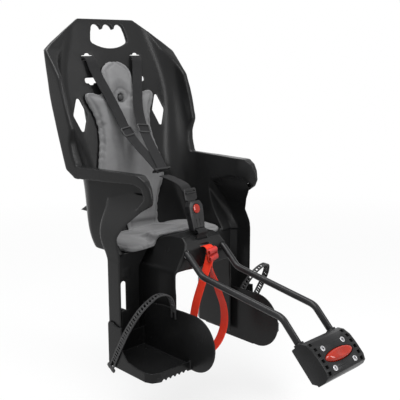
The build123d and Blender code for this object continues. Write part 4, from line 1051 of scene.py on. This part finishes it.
# the left strap leans further out
ladderBow = ((0, 0), (0, 0), (0, 0), (0.001, 0), (0.006, -0.004), (0.014, -0.008), (0.016, -0.008), (0.008, -0.004),
             (0, 0))
for side, sign, lean in (("left", 1, 1.0), ("right", -1, 0.0)):
    name = "ladderStrap" + side.title()
    points = [(sign * (x + lean * bow[0]), y + lean * bow[1], z) for (x, y, z), bow in zip(ladderPoints, ladderBow)]
    lines = pathFrames(points, ladderSizes["steps"], lambda share: (0.0, 1.0, 0.0))
    offset = (ladderSizes["width"] - ladderSizes["rail"]) / 2
    ladder = bandPiece(name, lines, ladderSizes["rail"], ladderSizes["thick"], shift=offset)
    rail = bandPiece(name + "Rail", lines, ladderSizes["rail"], ladderSizes["thick"], shift=-offset)
    shares = np.linspace(*ladderSizes["rungSpan"], ladderSizes["rungs"])
    stations = [int(round(share * (ladderSizes["steps"] - 1))) for share in shares]
    rungs = blocksAlong(name + "Rungs", lines, stations, ladderSizes["rung"], ladderSizes["rungHardness"],
                        ladderPlastic)
    tabs = blocksAlong(name + "Tab", lines, [ladderSizes["tabAt"]], ladderSizes["tab"], ladderSizes["tabHardness"],
                       ladderPlastic)
    joinInto(ladder, (rail, rungs, tabs))
    markWearAndHighlight(ladder.data, ladderSizes["wearAndHighlight"])
    finishPiece(ladder, ladderPlastic, "footrest_" + side, "ladder_strap_" + side)
print("stage: ladder straps")


# stage, light and camera

scene = bpy.context.scene
scene.view_settings.view_transform = "Standard"

floorSizes = {"level": -0.26, "reach": 30.0, "paper": (0.86, 0.86, 0.86, 1.0), "whiteness": (0.78, 1.0),
              "whitens": (0.6, 3.0)}
skySizes = {"colour": (0.98, 0.99, 1.0, 1.0), "strength": 0.36, "white": (1.0, 1.0, 1.0, 1.0)}
view = {"azimuth": -44.0, "elevation": 12.06, "sensor": 36.0, "lens": 64.16, "distance": 1.6502, "clipEnd": 100.0,
        "target": (0.0, 0.3759, 0.2787)}
# places are counted from the target: to the camera's right, towards the camera, and up
lampSizes = {"keyLight": ((-0.7, 1.3, 1.7), (1.4, 1.2), 22.0), "fillLight": ((1.8, 0.7, 0.9), (0.4, 1.7), 21.0),
             "topLight": ((-0.3, 0.15, 1.9), (1.8, 0.9), 44.0)}


def backgroundFactor(tree):
    path = tree.nodes.new("ShaderNodeLightPath")
    seen = mathNode(tree, "MAXIMUM", path.outputs["Is Camera Ray"], path.outputs["Is Glossy Ray"])
    return mathNode(tree, "MAXIMUM", seen, path.outputs["Is Transmission Ray"])


def mixShaders(tree, surface, factor, first, second):
    mixed = tree.nodes.new("ShaderNodeMixShader")
    for index, value in enumerate((factor, first, second)):
        tree.links.new(value, mixed.inputs[index])
    tree.links.new(mixed.outputs["Shader"], surface)


def paleFloor():
    reach, level = floorSizes["reach"], floorSizes["level"]
    corners = ((-reach, -reach, level), (reach, -reach, level), (reach, reach, level), (-reach, reach, level))
    mesh = newMesh("paleFloor", corners, [(0, 1, 2, 3)])
    floor = place(mesh, "paleFloor")
    material = bpy.data.materials.new("floorPaper")
    tree, surface = clearTree(material, "ShaderNodeOutputMaterial")
    paper = tree.nodes.new("ShaderNodeBsdfDiffuse")
    paper.inputs["Color"].default_value = floorSizes["paper"]
    glow = tree.nodes.new("ShaderNodeEmission")
    glow.inputs["Strength"].default_value = 1.0
    distance = tree.nodes.new("ShaderNodeVectorMath")
    distance.operation = "LENGTH"
    tree.links.new(plainCoords(tree), distance.inputs[0])
    whiteness = rangeNode(tree, distance.outputs["Value"], *floorSizes["whiteness"], floorSizes["whitens"])
    factor = mathNode(tree, "MULTIPLY", backgroundFactor(tree), whiteness)
    mixShaders(tree, surface, factor, paper.outputs["BSDF"], glow.outputs["Emission"])
    mesh.materials.append(material)


def skyLight():
    scene.world = bpy.data.worlds.new("studioSky")
    tree, surface = clearTree(scene.world, "ShaderNodeOutputWorld")
    lights = []
    for colour, strength in ((skySizes["colour"], skySizes["strength"]), (skySizes["white"], 1.0)):
        light = tree.nodes.new("ShaderNodeBackground")
        light.inputs["Color"].default_value = colour
        light.inputs["Strength"].default_value = strength
        lights.append(light.outputs["Background"])
    mixShaders(tree, surface, backgroundFactor(tree), *lights)


def viewAxes():
    a, e = math.radians(view["azimuth"]), math.radians(view["elevation"])
    back = Vector((math.sin(a) * math.cos(e), -math.cos(a) * math.cos(e), math.sin(e)))
    return back, Vector((math.cos(a), math.sin(a), 0.0))


def softBox(name, spot, size, power):
    back, right = viewAxes()
    level = Vector((back.x, back.y, 0.0)).normalized()
    target = Vector(view["target"])
    lamp = bpy.data.lights.new(name, "AREA")
    lamp.shape = "RECTANGLE"
    lamp.size, lamp.size_y = size
    lamp.energy = power
    box = bpy.data.objects.new(name, lamp)
    scene.collection.objects.link(box)
    box.location = target + right * spot[0] + level * spot[1] + Vector((0, 0, spot[2]))
    box.rotation_euler = (target - box.location).to_track_quat("-Z", "Y").to_euler()


def photoCamera():
    back = viewAxes()[0]
    camera = bpy.data.cameras.new("photoCamera")
    camera.sensor_width = view["sensor"]
    camera.lens = view["lens"]
    camera.clip_end = view["clipEnd"]
    holder = bpy.data.objects.new("photoCamera", camera)
    scene.collection.objects.link(holder)
    holder.location = Vector(view["target"]) + back * view["distance"]
    holder.rotation_euler = (-back).to_track_quat("-Z", "Y").to_euler()
    scene.camera = holder


paleFloor()
skyLight()
for name, (spot, size, power) in lampSizes.items():
    softBox(name, spot, size, power)
photoCamera()
print("stage: floor, light and camera")
